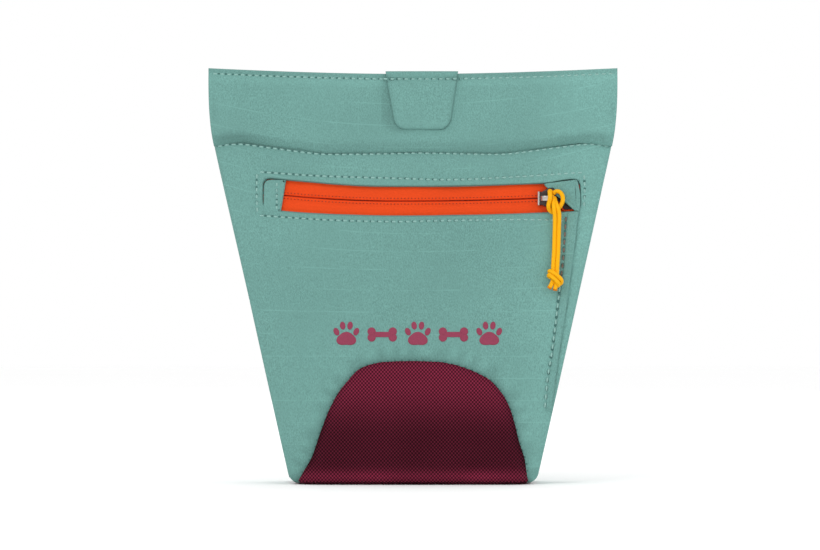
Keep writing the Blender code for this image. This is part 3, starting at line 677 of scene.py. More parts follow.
def band_painted_shade(x, z):
    """Painted shade over the lower seam, as the tab's painted shadow beside it, above the rim's stitches and
    in thin lines near the band's ends, with painted highlights below those stitches and towards the right.
    """
    drop = HEIGHT - rim_dip(x) - z
    above = z - BAND_FOOT - seam_shift(x)
    ends = ease((np.abs(x) - 0.055) / 0.02) * (1 - ease((np.abs(x) - 0.083) / 0.006))
    over_seam = (0.26 + 0.26 * ends) * bell(above - 0.0022, 0.0021)
    tab = box_distance(x - 0.0035, z - 0.1685, np.array([0.0156, 0.0133]), 0.0056)
    beside = 0.34 * bell(np.maximum(tab, 0), 0.0018) * ease((0.012 - x) / 0.02)
    strip = 0.20 * (1 - ease((drop - 0.0018) / 0.0006)) - 0.16 * bell(drop - 0.0042, 0.0016)
    paler = 0.24 * ease((x / RIM_HALF - 0.45) / 0.4)
    side = 0.22 * bell(np.abs(x) - 0.0876, 0.0007)
    side = side * ease((z - 0.158) / 0.003) * (1 - ease((z - 0.166) / 0.003))
    return over_seam + beside + strip + side - paler + ripple(x, z, 14, 0.04, 0.12)


def back_painted_shade(x, z):
    """Painted shade over the back band's seam."""
    above = np.abs(z - BAND_FOOT)
    return 0.3 * bell(above, 0.0018) + ripple(x, z, 15, 0.05, 0.12)


def cloth_level(x, z):
    """The height of a point in the weave, whose level threads rise towards the two sides near the rim."""
    return z - 1.33 * x**2 * ease((z - 0.05) / 0.11) - 0.003 * (1 - ease((z - 0.085) / 0.03))


def apply_painted_shade(finish, tone):
    """A colour darkened by half of the painted shade stored at each point, and lightened where painted
    highlights are stored.
    """
    painted_shade = finish.tree.nodes.new("ShaderNodeAttribute")
    painted_shade.attribute_name = "painted_shade"
    scaled = finish.tree.nodes.new("ShaderNodeVectorMath")
    scaled.operation = "SCALE"
    finish.link(tone, scaled.inputs[0])
    finish.link(finish.math("MULTIPLY_ADD", painted_shade.outputs["Fac"], -0.5, 1.0), scaled.inputs["Scale"])
    return scaled.outputs["Vector"]


def canvas_finish(name, color, ripstop=1.0):
    """Ripstop canvas: a fine twill with lighter slubs, and a grid of thin pale lines that come and go."""
    finish = Finish(name, roughness=0.92, sheen=0.05, specular=0.12)
    across, up = finish.uv()
    slub = finish.noise(2600, 3.0, stretch=(1, 1, 0.45))
    broad = finish.noise(38, 2.0)
    fine = finish.noise(7000, 1.0)
    tone = finish.mix(finish.remap(slub, 0.3, 0.7), shade(color, 0.76), shade(color, 1.25))
    tone = finish.mix(finish.remap(broad, 0.35, 0.65, 0.0, 0.5), tone, shade(color, 0.95))
    level = line_mask(finish, up, 0.00955, 0.00034)
    upright = line_mask(finish, across, 0.0096, 0.00034)
    patchy = finish.remap(finish.noise(95, 2.0, stretch=(0.5, 1, 1)), 0.45, 0.60)
    level = finish.math("MULTIPLY", level, finish.math("MULTIPLY", patchy, 0.62 * ripstop))
    upright = finish.math("MULTIPLY", upright, finish.math("MULTIPLY", patchy, 0.30 * ripstop))
    lines = finish.math("MAXIMUM", level, upright)
    # The canvas colour takes the painted shade and painted highlights stored on each piece.
    finish.color(apply_painted_shade(finish, finish.mix(lines, tone, shade(color, 1.30))))
    twill = wave(finish, finish.math("ADD", across, up), 0.00062)
    cross = wave(finish, finish.math("SUBTRACT", across, up), 0.00094)
    weave = finish.math("ADD", finish.math("MULTIPLY", twill, 0.35), finish.math("MULTIPLY", cross, 0.2))
    height = finish.math("ADD", weave, finish.math("MULTIPLY", slub, 1.6))
    height = finish.math("ADD", height, finish.math("MULTIPLY", fine, 0.8))
    finish.bump(finish.math("ADD", height, finish.math("MULTIPLY", lines, 0.9)), 0.00006)
    return finish.material


def ballistic_finish(name, color):
    """Ballistic nylon: a basket weave of raised crossings in staggered rows over gaps, painted lighter on
    the crossings as a painted highlight and dark in the gaps as painted shade, plus each piece's stored
    painted shade.
    """
    finish = Finish(name, roughness=0.8, specular=0.06)
    across, up = finish.uv()
    knots = finish.math("MULTIPLY", wave(finish, across, 0.00150), wave(finish, up, 0.00164))
    yarn = wave(finish, finish.math("ADD", across, up), 0.00028)
    # Painted highlight on the raised crossings and painted shade in the gaps between them.
    lit = finish.remap(knots, -0.45, 0.8)
    tone = finish.mix(lit, shade(color, 0.30), shade(color, 1.85))
    finish.color(apply_painted_shade(finish, tone))
    height = finish.math("ADD", knots, finish.math("MULTIPLY", yarn, 0.12))
    finish.bump(height, 0.00016)
    return finish.material


def tape_finish(name, color):
    """Woven zip tape: a tight herringbone with thin darker ribs along it."""
    finish = Finish(name, roughness=0.7, specular=0.1)
    across, up = finish.uv()
    zigzag = finish.math("PINGPONG", across, 0.0011)
    bone = wave(finish, finish.math("ADD", zigzag, up), 0.00055)
    rib = wave(finish, up, 0.0016)
    mottled = finish.noise(1500, 2.0)
    tone = finish.mix(finish.remap(bone, -1, 1, 0.0, 0.5), color, shade(color, 0.82))
    tone = finish.mix(finish.remap(mottled, 0.35, 0.65, 0.0, 0.4), tone, shade(color, 1.08))
    finish.color(tone)
    finish.bump(finish.math("ADD", bone, finish.math("MULTIPLY", rib, 0.5)), 0.00005)
    return finish.material


def cord_finish(name, color, end_color):
    """Braided cord: fine strands wound round it both ways. U runs round it and V along it in metres."""
    finish = Finish(name, roughness=0.55, specular=0.15)
    around, along = finish.uv()
    spin = finish.math("MULTIPLY", around, 0.006)
    one = wave(finish, finish.math("ADD", along, spin), 0.00085)
    other = wave(finish, finish.math("SUBTRACT", along, spin), 0.00085)
    braid = finish.math("MULTIPLY", one, other)
    tone = finish.mix(finish.remap(braid, -1, 1), shade(color, 0.80), color)
    finish.color(finish.mix(finish.remap(finish.noise(900, 1.0), 0.4, 0.7, 0.0, 0.3), tone, end_color))
    finish.bump(braid, 0.00005)
    return finish.material


def webbing_finish(name, color):
    """Flat woven webbing: raised cross ribs split by lengthwise channels."""
    finish = Finish(name, roughness=0.75, sheen=0.1)
    across, up = finish.uv()
    rib = wave(finish, up, 0.0011)
    channel = wave(finish, across, 0.0022)
    woven = finish.math("MULTIPLY", rib, finish.remap(channel, -1, 1, 0.35, 1.0))
    tone = finish.mix(finish.remap(woven, -1, 1), shade(color, 0.55), shade(color, 1.6))
    finish.color(tone)
    finish.bump(finish.math("ADD", woven, finish.math("MULTIPLY", channel, 0.6)), 0.00014)
    return finish.material


def lining_finish(name, color):
    """Coated lining: a smooth film over a very fine plain weave, with faint creases, painted darker in their
    valleys and lighter on their ridges as painted shade.
    """
    finish = Finish(name, roughness=0.48, coat=0.15)
    across, up = finish.uv()
    woven = finish.math("MULTIPLY", wave(finish, across, 0.0007), wave(finish, up, 0.0007))
    painted_shade = finish.noise(55, 4.0, roughness=0.7)
    # Painted shade: the creases' valleys darker, their ridges lighter.
    finish.color(finish.mix(finish.remap(painted_shade, 0.3, 0.7), shade(color, 0.85), shade(color, 1.12)))
    height = finish.math("ADD", finish.math("MULTIPLY", woven, 0.15), finish.math("MULTIPLY", painted_shade, 4.0))
    finish.bump(height, 0.0001)
    return finish.material


def metal_finish(name, color, roughness, metallic=0.9):
    """Plated or coated metal with faint handling marks in its gloss."""
    finish = Finish(name, roughness=roughness, metallic=metallic, specular=0.5)
    scuff = finish.noise(420, 5.0, stretch=(1, 1, 6), roughness=0.7)
    finish.set(finish.shader.inputs["Roughness"],
               finish.remap(scuff, 0.3, 0.7, roughness * 0.75, min(roughness * 1.4, 1.0)))
    finish.color(finish.mix(finish.remap(scuff, 0.5, 0.8, 0.0, 0.35), color, shade(color, 1.4)))
    finish.bump(scuff, 0.000012)
    return finish.material


def thread_finish(name, color):
    """Twisted sewing thread."""
    finish = Finish(name, roughness=0.7, sheen=0.1)
    along, side = finish.uv()
    twist = wave(finish, finish.math("ADD", along, side), 0.00035)
    finish.color(finish.mix(finish.remap(twist, -1, 1), shade(color, 0.75), shade(color, 1.1)))
    finish.bump(twist, 0.00003)
    return finish.material


def ink_finish(name, color):
    """Screen-printed ink: an even film, a little worn where the weave stands up."""
    finish = Finish(name, roughness=0.5)
    worn = finish.noise(2400, 2.0)
    finish.color(finish.mix(finish.remap(worn, 0.35, 0.7, 0.0, 0.6), color, shade(color, 1.35)))
    finish.bump(worn, 0.00004)
    return finish.material


TEAL = srgb(108, 153, 146)
CANVAS = canvas_finish("teal_ripstop_canvas", TEAL)
CANVAS_PLAIN = canvas_finish("teal_canvas_tab", shade(TEAL, 1.0), 0.4)
GUSSET_CLOTH = canvas_finish("teal_gusset_canvas", shade(TEAL, 0.95), 0.8)
BALLISTIC = ballistic_finish("burgundy_ballistic_nylon", srgb(74, 19, 34))
# A lighter copy of the burgundy nylon: painted sheen where the base's rolled edge catches the light.
BASE_NYLON_SHEEN = ballistic_finish("burgundy_nylon_painted_sheen", srgb(92, 34, 49))
ORANGE = tape_finish("orange_zip_tape", srgb(234, 76, 28))
COIL = thread_finish("orange_zip_coil", srgb(150, 46, 20))
YELLOW = cord_finish("yellow_braided_cord", srgb(255, 186, 8), srgb(250, 165, 6))
BURNT = cord_finish("singed_cord_end", srgb(236, 140, 20), srgb(190, 96, 22))
GUNMETAL = metal_finish("gunmetal_slider", srgb(66, 58, 56), 0.28)
# Pale metal that paints a highlight: the glint on the slider's flange and bridge.
SLIDER_GLINT = metal_finish("slider_painted_glint", srgb(186, 180, 174), 0.2)
CLIP_STEEL = metal_finish("black_clip_steel", srgb(52, 52, 56), 0.38, 0.7)
NICKEL = metal_finish("nickel_magnet", srgb(190, 190, 192), 0.2)
WEBBING = webbing_finish("charcoal_webbing", srgb(52, 56, 60))
LINING = lining_finish("grey_coated_lining", srgb(150, 156, 158))
BOARD = lining_finish("white_stiffener_board", srgb(225, 225, 222))
THREAD = thread_finish("teal_thread", srgb(146, 190, 182))
BROWN_THREAD = thread_finish("brown_thread", srgb(128, 112, 100))
ORANGE_THREAD = thread_finish("orange_thread", srgb(150, 38, 12))
DARK_THREAD = thread_finish("charcoal_thread", srgb(70, 74, 78))
# Painted shadow for needle holes and seam specks.
HOLE_SHADOW = thread_finish("needle_hole_shadow", srgb(70, 116, 110))
# A near-black sheet of painted shadow for the open zip's hollow.
OPENING_SHADOW = lining_finish("pocket_shadow", srgb(30, 10, 14))
INK = ink_finish("burgundy_ink", srgb(132, 50, 74))


def finished(obj, material, body, slot, *nodes):
    """Gives a piece its material and its body, and hides the frame's nodes that it stands for. The slot is
    not used.
    """
    obj.data.materials.clear()
    obj.data.materials.append(material)
    if body:
        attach(obj, body)
    if nodes:
        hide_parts(*nodes)
    return obj


# --- Camera, light and floor ---
def make_stage():
    """The camera, three soft lamps, a white sky and the pale floor."""
    camera_data = bpy.data.cameras.new("camera")
    camera = bpy.data.objects.new("camera", camera_data)
    bpy.context.scene.collection.objects.link(camera)
    distance, seen_width = 2.4, 0.3596
    camera.location = (-0.0013, -distance, 0.0909)
    camera.rotation_euler = (math.pi / 2, 0, 0)
    camera_data.lens = camera_data.sensor_width * (distance - 0.006) / seen_width
    camera_data.clip_start = 0.01
    bpy.context.scene.camera = camera

    world = bpy.data.worlds.new("studio")
    world.use_nodes = True
    world.node_tree.nodes["Background"].inputs["Color"].default_value = (1, 1, 1, 1)
    world.node_tree.nodes["Background"].inputs["Strength"].default_value = 1.0
    bpy.context.scene.world = world
    bpy.context.scene.view_settings.view_transform = "Standard"

    lamps = (
        ("key", (-0.55, -1.0, 1.15), 0.6, 4.4),
        ("fill", (0.95, -0.9, 0.35), 0.9, 1.2),
        ("back", (0.2, 1.2, 1.0), 1.2, 3.0),
    )
    for name, spot, size, power in lamps:
        data = bpy.data.lights.new(name, "AREA")
        data.size = size
        data.energy = power
        lamp = bpy.data.objects.new(name, data)
        lamp.location = spot
        aim = Vector((0, 0, 0.09)) - Vector(spot)
        lamp.rotation_euler = aim.to_track_quat("-Z", "Y").to_euler()
        bpy.context.scene.collection.objects.link(lamp)

    side, level = 3.0, -0.0002
    corners = [(-side, -side, level), (side, -side, level), (side, side, level), (-side, side, level)]
    floor = mesh_object("floor", corners, [[0, 1, 2, 3]], [(0, 0), (1, 0), (1, 1), (0, 1)])
    finish = Finish("pale_floor", roughness=0.9)
    finish.color((0.985, 0.985, 0.985, 1))
    floor.data.materials.append(finish.material)


# --- Front wall ---
def fine_lines(start, stop, step, fine_spots):
    """Grid lines a step apart, closer together around chosen spots."""
    reach, fine_step = 0.0016, 0.00022
    lines = set(np.round(np.arange(start, stop, step), 7).tolist() + [round(stop, 7)])
    for spot in fine_spots:
        lines = {v for v in lines if abs(v - spot) > reach}
        lines |= set(np.round(np.arange(spot - reach, spot + reach + 1e-9, fine_step), 7).tolist())
    return np.array(sorted(v for v in lines if start <= v <= stop))


def returned_columns(across):
    """Columns over a wall plus a few more at each side that turn back to the gusset's seam.

    Gives each column's place across and how far it has turned back, from 0 to 1.
    """
    count = 5
    turn = np.linspace(0, 1, count + 1)[1:]
    place_across = np.concatenate([np.full(count, across[0]), across, np.full(count, across[-1])])
    turned = np.concatenate([turn[::-1], np.zeros(len(across)), turn])
    return place_across, turned


def wrap_sides(x, y, z, turned, inward):
    """Carries the last columns round the wall's edge: out a little, then back to the gusset's seam."""
    bulge = 0.0007 * np.sin(turned * math.pi) - EDGE_ROLL * turned
    return x + np.sign(x) * bulge, y + inward * LEAF_INSET * turned, z


def make_front_panel():
    """The front canvas, with the zip's window left out and the arch open behind the base patch."""
    reference = half_width(ZIP_Z)
    edges = (WINDOW_MIDDLE - WINDOW_HALF[0], WINDOW_MIDDLE + WINDOW_HALF[0])
    columns = fine_lines(-reference, reference, 0.0011, edges)
    across, turned = returned_columns(columns)
    levels = (ZIP_Z - WINDOW_HALF[1], ZIP_Z + WINDOW_HALF[1])
    heights = fine_lines(0.0060, BAND_FOOT + 0.0004, 0.0011, levels)
    heights = np.concatenate([np.arange(0.0004, 0.0058, 0.0005), heights])
    grid_x, cloth_z = np.meshgrid(across, heights)
    turned = np.broadcast_to(turned, grid_x.shape)
    z = lifted(grid_x, cloth_z)
    width = half_width(z) - under(z)
    x = grid_x / reference * width
    y = panel_y(x, z)
    x, y, z = wrap_sides(x, y, z, turned, 1)
    hole = window_distance(x, z) < -0.0013
    patch = arch_depth(x, z)[0] > 0.004
    uv = stack(grid_x + turned * np.sign(grid_x) * LEAF_INSET, cloth_level(grid_x, cloth_z))
    panel = cloth("front_panel_canvas", stack(x, y, z), uv, CANVAS_THICK, keep=~(hole | patch))
    # The front canvas stores its painted shade and painted highlights.
    store_painted_shade(panel, front_painted_shade)
    return finished(panel, CANVAS, "front", "teal_canvas", "front_panel")


def make_base_patch():
    """The arch of ballistic nylon: rings that shrink from its seam to its middle and swell out within it."""
    seam = ARCH[ARCH[:, 1] > 0.0006]
    foot = np.linspace(seam[-1], seam[0], 121)[1:-1]
    outline = np.concatenate([seam, foot])
    shrink = np.concatenate([[1.0, 0.994, 0.986, 0.976, 0.964], np.linspace(0.95, 0.04, 40)])
    middle = np.array([0.0022, 0.021])
    rings = middle + shrink[:, None, None] * (outline - middle)
    x, z = rings[..., 0], rings[..., 1]
    depth = np.maximum(arch_depth(x, z)[0], 0)
    swell = 0.0034 * (1 - np.clip(1 - depth / 0.0065, 0, 1) ** 2.2) - 0.0014
    scallops = 0.0007 * bell(z - 0.0055, 0.004) * np.cos(x * 95 + 0.6)
    own = ease(depth / 0.005) * (ripple(x, z, 11, 0.022, 0.0005) + scallops)
    y = front_y(x, z) + under(z) - loose(x, z) - swell - own
    faces = grid_faces(len(shrink), len(outline), around=True).tolist()
    faces.append(list(range((len(shrink) - 1) * len(outline), len(shrink) * len(outline))))
    patch = mesh_object("base_patch_nylon", stack(x, y, z), faces, stack(x, z + 0.1))
    wall = patch.modifiers.new("thickness", "SOLIDIFY")
    wall.thickness, wall.offset = NYLON_THICK, -1
    # The base patch stores its painted shade and painted highlights.
    store_painted_shade(patch, patch_painted_shade)
    line = ARCH[(ARCH[:, 1] > 0.004)]
    path = stack(line[:, 0], panel_y(line[:, 0], line[:, 1]) + 0.0001, line[:, 1])
    # Dark specks of painted shadow along the arch's seam, in the needle-hole shadow colour.
    specks = stitch_row("arch_seam_shadow_specks", path, FORWARD, 0.0031, 0.0010, 0.0008, 0.0005)
    finished(specks, HOLE_SHADOW, "front", "teal_canvas")
    return finished(patch, BALLISTIC, "front", "burgundy_nylon", "front_base_patch")


def band_profile(seam, rim):
    """Heights up the outside of a rim band, over its fold and down the inside, and how far in each lies."""
    steps_up, steps_over = 26, 7
    up = np.linspace(0, 1, steps_up) ** 0.9
    radius = BAND_THICK / 2
    top = rim - radius
    outer = seam[:, None] + up[None] * (top - seam)[:, None]
    turn = np.linspace(0, math.pi, steps_over + 2)[1:-1]
    over = top[:, None] + radius * np.sin(turn)[None]
    depth_over = radius * (1 - np.cos(turn))
    inner = outer[:, ::-1]
    heights = np.concatenate([outer, over, inner], axis=1)
    depth = np.concatenate([np.zeros(steps_up), depth_over, np.full(steps_up, BAND_THICK)])
    face = np.concatenate([up, np.full(steps_over, 1.0), up[::-1]])
    side = np.concatenate([np.ones(steps_up), np.cos(turn), -np.ones(steps_up)])
    return heights, depth, face, side


def swell_under_rim(share):
    """A band's swell below its rim's stitches, from the share of the way up from its seam."""
    return bell(share - 0.82, 0.16) * 0.0006


def drawn_by_stitches(drop):
    """The groove that the rim's stitches press into a band, from the drop below the rim."""
    return groove(drop - STITCH_DROP, 0.0009, 0.00055)


def make_band(name, wall_y, inward, body, node, shift):
    """A rim band: a folded facing that swells over its seam and is drawn in by the rim's stitches."""
    columns = np.linspace(-1, 1, 121)
    columns = np.sign(columns) * (1 - (1 - np.abs(columns)) ** 1.25)
    x0 = columns * RIM_HALF
    seam = BAND_FOOT - 0.0004 + shift * seam_shift(x0)
    rim = HEIGHT - rim_dip(x0)
    z, depth, face, side = band_profile(seam, rim)
    x = columns[:, None] * half_width(z)
    ends = np.clip((np.abs(columns) - 0.35) / 0.4, 0, 1)[:, None]
    over_seam = bell(face[None] - 0.17, 0.13) * (0.0010 + 0.0013 * ends * shift)
    under_rim = swell_under_rim(face[None])
    stitched = drawn_by_stitches(rim[:, None] - z)
    drawn = groove(z - seam[:, None], 0.0013, 0.0009)
    swell = over_seam + under_rim + stitched + drawn + ripple(x, z, 21 + shift, 0.03, 0.0008)
    outer = (side[None] > -0.5) & (depth[None] < BAND_THICK * 0.9)
    y = wall_y(x, z) + inward * (depth[None] - np.where(outer, swell, 0.0))
    uv = stack(x, cloth_level(x, z) + 0.0012)
    # Each band stores its painted shade and painted highlights.
    band = store_painted_shade(tube_object(name, stack(x, y, z), uv), band_painted_shade if shift else back_painted_shade)
    return finished(band, CANVAS, body, "teal_canvas", node)


def band_face(x, drop):
    """A point on the front band's face, a drop below its rim: (y, z)."""
    z = HEIGHT - rim_dip(x) - drop
    seam = BAND_FOOT + seam_shift(x)
    share = np.clip((z - seam) / (HEIGHT - rim_dip(x) - BAND_THICK / 2 - seam), 0, 1)
    under_rim = swell_under_rim(share)
    y = front_y(x, z) - under_rim - drawn_by_stitches(drop) - ripple(x, z, 22, 0.03, 0.0008)
    return y, z


def in_metres(points):
    """Points given in millimetres, as an array in metres."""
    return np.array(points, float) * MM


def sewn(name, path, outward_way, body, pitch=PITCH, thread=None):
    """A seam's topstitching: thread beads, with a dark bead of painted shadow in the needle hole at each of
    their ends.
    """
    beads = stitch_row(f"{name}_thread", path, outward_way, pitch, pitch * 0.66, 0.00085, 0.0005)
    finished(beads, thread or THREAD, body, "teal_canvas")
    total = path_length(path)
    start = pitch / 2 / total
    moved = spots_on(path, np.linspace(total * start, total * (1 + start), len(path)))
    moved = moved - np.asarray(outward_way, float) * HOLE_SINK
    hole_shadows = stitch_row(f"{name}_holes", moved, outward_way, pitch, pitch * 0.40, 0.00105, 0.0004)
    return finished(hole_shadows, HOLE_SHADOW, body, "teal_canvas")


def draped(obj):
    """Moves a piece made flat at y = 0 onto the plain front wall."""
    points = points_of(obj)
    points[:, 1] += front_y(points[:, 0], points[:, 2])
    obj.data.vertices.foreach_set("co", points.astype(np.float32).ravel())
    obj.data.update()
    return obj


# --- Zip ---
def make_tapes():
    """Two halves of woven tape, each turned in beside the coil and flat out to its sewn edge."""
    x = np.linspace(TAPE_LOW[0] + 0.003, TAPE_HIGH[0] - 0.003, 150)
    away = np.array([0.1, 0.22, 0.4, 0.7, 1.1, 1.6, 2.2, 3.0, 4.4, 6.0, 7.2, 8.5]) * MM
    for name, sign in (("upper", 1), ("lower", -1)):
        grid_x, v = np.meshgrid(x, away)
        z = ZIP_Z + zip_sag(grid_x) + sign * v
        fold = 0.0010 * bell(v, 0.00028) - 0.0005 * bell(v - 0.0010, 0.0011)
        belly = -0.00035 * bell(v - 0.0042, 0.0016) + ripple(grid_x, z, 31 + sign, 0.02, 0.0002)
        y = front_y(grid_x, z) + 0.0019 + fold + belly
        points = stack(grid_x, y, z)
        tape = cloth(f"zip_{name}_tape_half", points, stack(grid_x, v), TAPE_THICK, flip=sign < 0)
        finished(tape, ORANGE, "front", "orange_tape", f"zip_tape_{name}")
        row_x = np.linspace(-0.0570, 0.0560, 300)
        row_z = ZIP_Z + zip_sag(row_x) + sign * 0.00125
        path = stack(row_x, front_y(row_x, row_z) + 0.00128, row_z)
        beads = stitch_row(f"zip_{name}_chain_stitches", path, FORWARD, 0.0015, 0.0006, 0.0004, 0.0003)
        finished(beads, ORANGE_THREAD, "front", "zip_coil")


OPENING = np.array([0.0590, 0.0712])


def opening_edge(u, side):
    """The open zip's lip from the slider to the tape's right end: a leaf shape, fuller below at that end."""
    leaf = 0.0022 * np.sin(np.clip(u, 0, 1) * math.pi) ** 0.7
    if side > 0:
        return leaf
    full = ease((u - 0.35) / 0.25) * (1 - ease((u - 0.9) / 0.1))
    return -(leaf * (1 - full) + 0.0060 * full)


def make_opening():
    """The dark leaf of painted shadow behind the slider and its two folded lips."""
    u = np.linspace(0.0, 1.0, 81)
    x = OPENING[0] + u * (OPENING[1] - OPENING[0])
    low, high = opening_edge(u, -1), opening_edge(u, 1)
    share = np.linspace(0, 1, 7)
    z = ZIP_Z + zip_sag(x)[:, None] + low[:, None] + share[None] * (high - low)[:, None]
    grid_x = np.broadcast_to(x[:, None], z.shape)
    y = front_y(grid_x, z) + 0.00105
    outer = stack(grid_x, y, z)
    inner = outer + np.array([0, 0.0004, 0])
    leaf = strip("zip_opening_shadow", outer, inner, stack(grid_x, z))
    finished(leaf, OPENING_SHADOW, None, "grey_lining")
    pieces = [leaf]
    for name, side in (("upper", 1), ("lower", -1)):
        edge_z = ZIP_Z + zip_sag(x) + opening_edge(u, side)
        path = stack(x, front_y(x, edge_z) + 0.0009, edge_z)
        lip = tube_object(f"zip_{name}_lip", round_rings(path, 0.00042, 8))
        pieces.append(finished(lip, ORANGE, None, "orange_tape"))
    start, end = (OPENING[1], -0.012, ZIP_Z), (OPENING[0], -0.012, ZIP_Z)
    for piece in pieces:
        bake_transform(piece)
        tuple(start)
        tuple(end)
        weights_along(piece, OPENING[1], OPENING[0])


def weights_along(piece, start, end):
    """Works out a share of the slider's travel that grows evenly from start to end across a piece's points;
    the share is not kept.
    """
    share = np.clip((points_of(piece)[:, 0] - start) / (end - start), 0, 1)


def make_zip_ends():
    """The cloth tab over the tape's left end and the folded flap that houses the slider at its right."""
    left = WINDOW_MIDDLE - WINDOW_HALF[0] + 0.0002
    top, foot = 0.1327, 0.1184
    corners = np.array([(left, foot), (-0.0578, foot), (-0.0555, top), (left, top)])
    outline = round_corners(corners, (0.0034, 0.0004, 0.0004, 0.0034))
    levels = ((0.0014, 0.0), (0.0006, 0.0), (0.00035, 0.0001), (0.0002, 0.0004), (0.00015, 0.0012))
    tab = draped(flat_stack("zip_end_tab_cloth", outline, levels))
    finished(tab, CANVAS_PLAIN, "front", "teal_canvas", "zip_end_tab")
    z = np.linspace(0.1192, 0.1318, 40)
    x = np.full(40, -0.0596)
    sewn("zip_end_tab_stitches", stack(x, front_y(x, z) + 0.0001, z), FORWARD, "front", 0.0024)
    flap = in_metres([
        (57.3, 130.9), (57.6, 130.2), (60.7, 127.0), (65.4, 123.6), (68.2, 121.2), (70.7, 119.0),
        (71.6, 118.2), (72.6, 118.6), (73.2, 120.7), (73.3, 125.8), (72.6, 130.2), (71.8, 132.6),
        (70.4, 132.6), (64.0, 131.8),
    ])
    outline = round_corners(flap, 0.0007, 4)
    levels = ((0.0013, 0.0), (0.0, 0.0), (-0.00045, 0.00008), (-0.0007, 0.0003), (-0.00075, 0.0008),
              (-0.0006, 0.0013))
    garage = draped(flat_stack("zip_garage_flap", outline, levels))
    finished(garage, CANVAS_PLAIN, "front", "teal_canvas", "zip_garage")


def make_frame_stitches():
    """Topstitching round the zip window: left column, top and bottom rows and the right column."""
    rows = {
        "top": [(-67.6, 136.0), (-40, 134.2), (-7.5, 133.2), (17, 132.6), (42.5, 133.7), (74.6, 135.8)],
        "foot": [(-67.6, 116.9), (-37, 114.9), (-8, 114.2), (12, 114.6), (46, 115.1), (66, 114.7)],
        "left": [(-68.3, 135.6), (-68.4, 127.0), (-68.1, 118.0)],
        "right": [(74.9, 135.2), (75.2, 128.0), (74.7, 120.5)],
    }
    for side, row in rows.items():
        sewn(f"window_{side}_stitches", front_line(row, 0.00008), FORWARD, "front")


# --- Slider and pull cord ---
SLIDER_WALL = float(front_y(np.array(SLIDER_X), np.array(ZIP_Z)))


def make_slider():
    """A crown with shoulders and a raised left flange, and a bridge that the cord is hitched to."""
    crown = in_metres([
        (-3.8, -3.0), (-2.6, -3.0), (-2.2, -2.8), (1.0, -4.3), (3.2, -4.2), (4.4, -3.0), (4.6, 0.0),
        (4.4, 3.2), (3.0, 4.7), (1.0, 4.7), (-2.2, 2.8), (-2.6, 3.0), (-3.8, 3.0),
    ]) + np.array([SLIDER_X, ZIP_Z])
    outline = round_corners(crown, 0.0004, 4)
    base = SLIDER_WALL
    levels = ((base + 0.0004, 0.0002), (base + 0.0003, 0.0), (base + 0.0001, 0.0), (base - 0.0002, 0.00015),
              (base - 0.0003, 0.0005))
    plate = flat_stack("slider_crown", outline, levels)
    flange = in_metres([(-3.9, -3.05), (-3.0, -3.05), (-3.0, 3.05), (-3.9, 3.05)])
    flange = round_corners(flange + np.array([SLIDER_X, ZIP_Z]), 0.0003, 3)
    levels = ((base + 0.0006, 0.0), (base - 0.0011, 0.0), (base - 0.0013, 0.0001), (base - 0.00136, 0.00025))
    lip = flat_stack("slider_flange", flange, levels)
    back = flat_stack("slider_back", round_corners(crown, 0.0004, 4),
                      ((base + 0.0052, 0.0008), (base + 0.0051, 0.0005), (base + 0.0044, 0.0005)))
    body = join("slider_body", [plate, back])
    finished(body, GUNMETAL, "slider", "gunmetal", "zip_slider")
    # The flange's pale metal is a painted highlight.
    finished(lip, SLIDER_GLINT, "slider", "gunmetal")
    route = np.array([(-2.5, 0.2), (-2.45, -1.0), (-2.0, -2.5), (-0.9, -3.45), (0.9, -3.5), (2.0, -2.6),
                      (2.5, -1.0), (2.55, 0.2)]) * MM
    route = even_path(smooth_path(route, 60), 40)
    bridge = bent_strip("slider_bridge", route, 0.00115, 0.0007, SLIDER_X, base, ZIP_Z)
    # The bridge's pale metal is a painted glint.
    finished(bridge, SLIDER_GLINT, "slider", "gunmetal")


def rounded_profile(half_wide, half_thick):
    """A rectangle's outline with round ends to its corners, as (across, outward)."""
    radius = min(half_thick * 0.9, half_wide)
    turn = np.linspace(0, math.pi / 2, 5)
    corner = stack(np.cos(turn), np.sin(turn)) * radius
    spot = np.array([half_wide - radius, half_thick - radius])
    first = corner + spot
    second = stack(-corner[::-1, 0], corner[::-1, 1]) + spot * (-1, 1)
    return np.concatenate([first, second, -first, -second])


def bent_strip(name, route, half_wide, thick, x, y, z):
    """A small metal strip bent along a route in (x, y), with its width along z."""
    ahead = np.gradient(route, axis=0)
    ahead /= np.linalg.norm(ahead, axis=1)[:, None]
    out = stack(ahead[:, 1], -ahead[:, 0])
    profile = rounded_profile(half_wide, thick / 2)
    rings = np.empty((len(route), len(profile), 3))
    rings[..., 0] = x + route[:, None, 0] + out[:, None, 0] * profile[None, :, 1]
    rings[..., 1] = y + route[:, None, 1] + out[:, None, 1] * profile[None, :, 1]
    rings[..., 2] = z + profile[None, :, 0]
    return tube_object(name, rings)


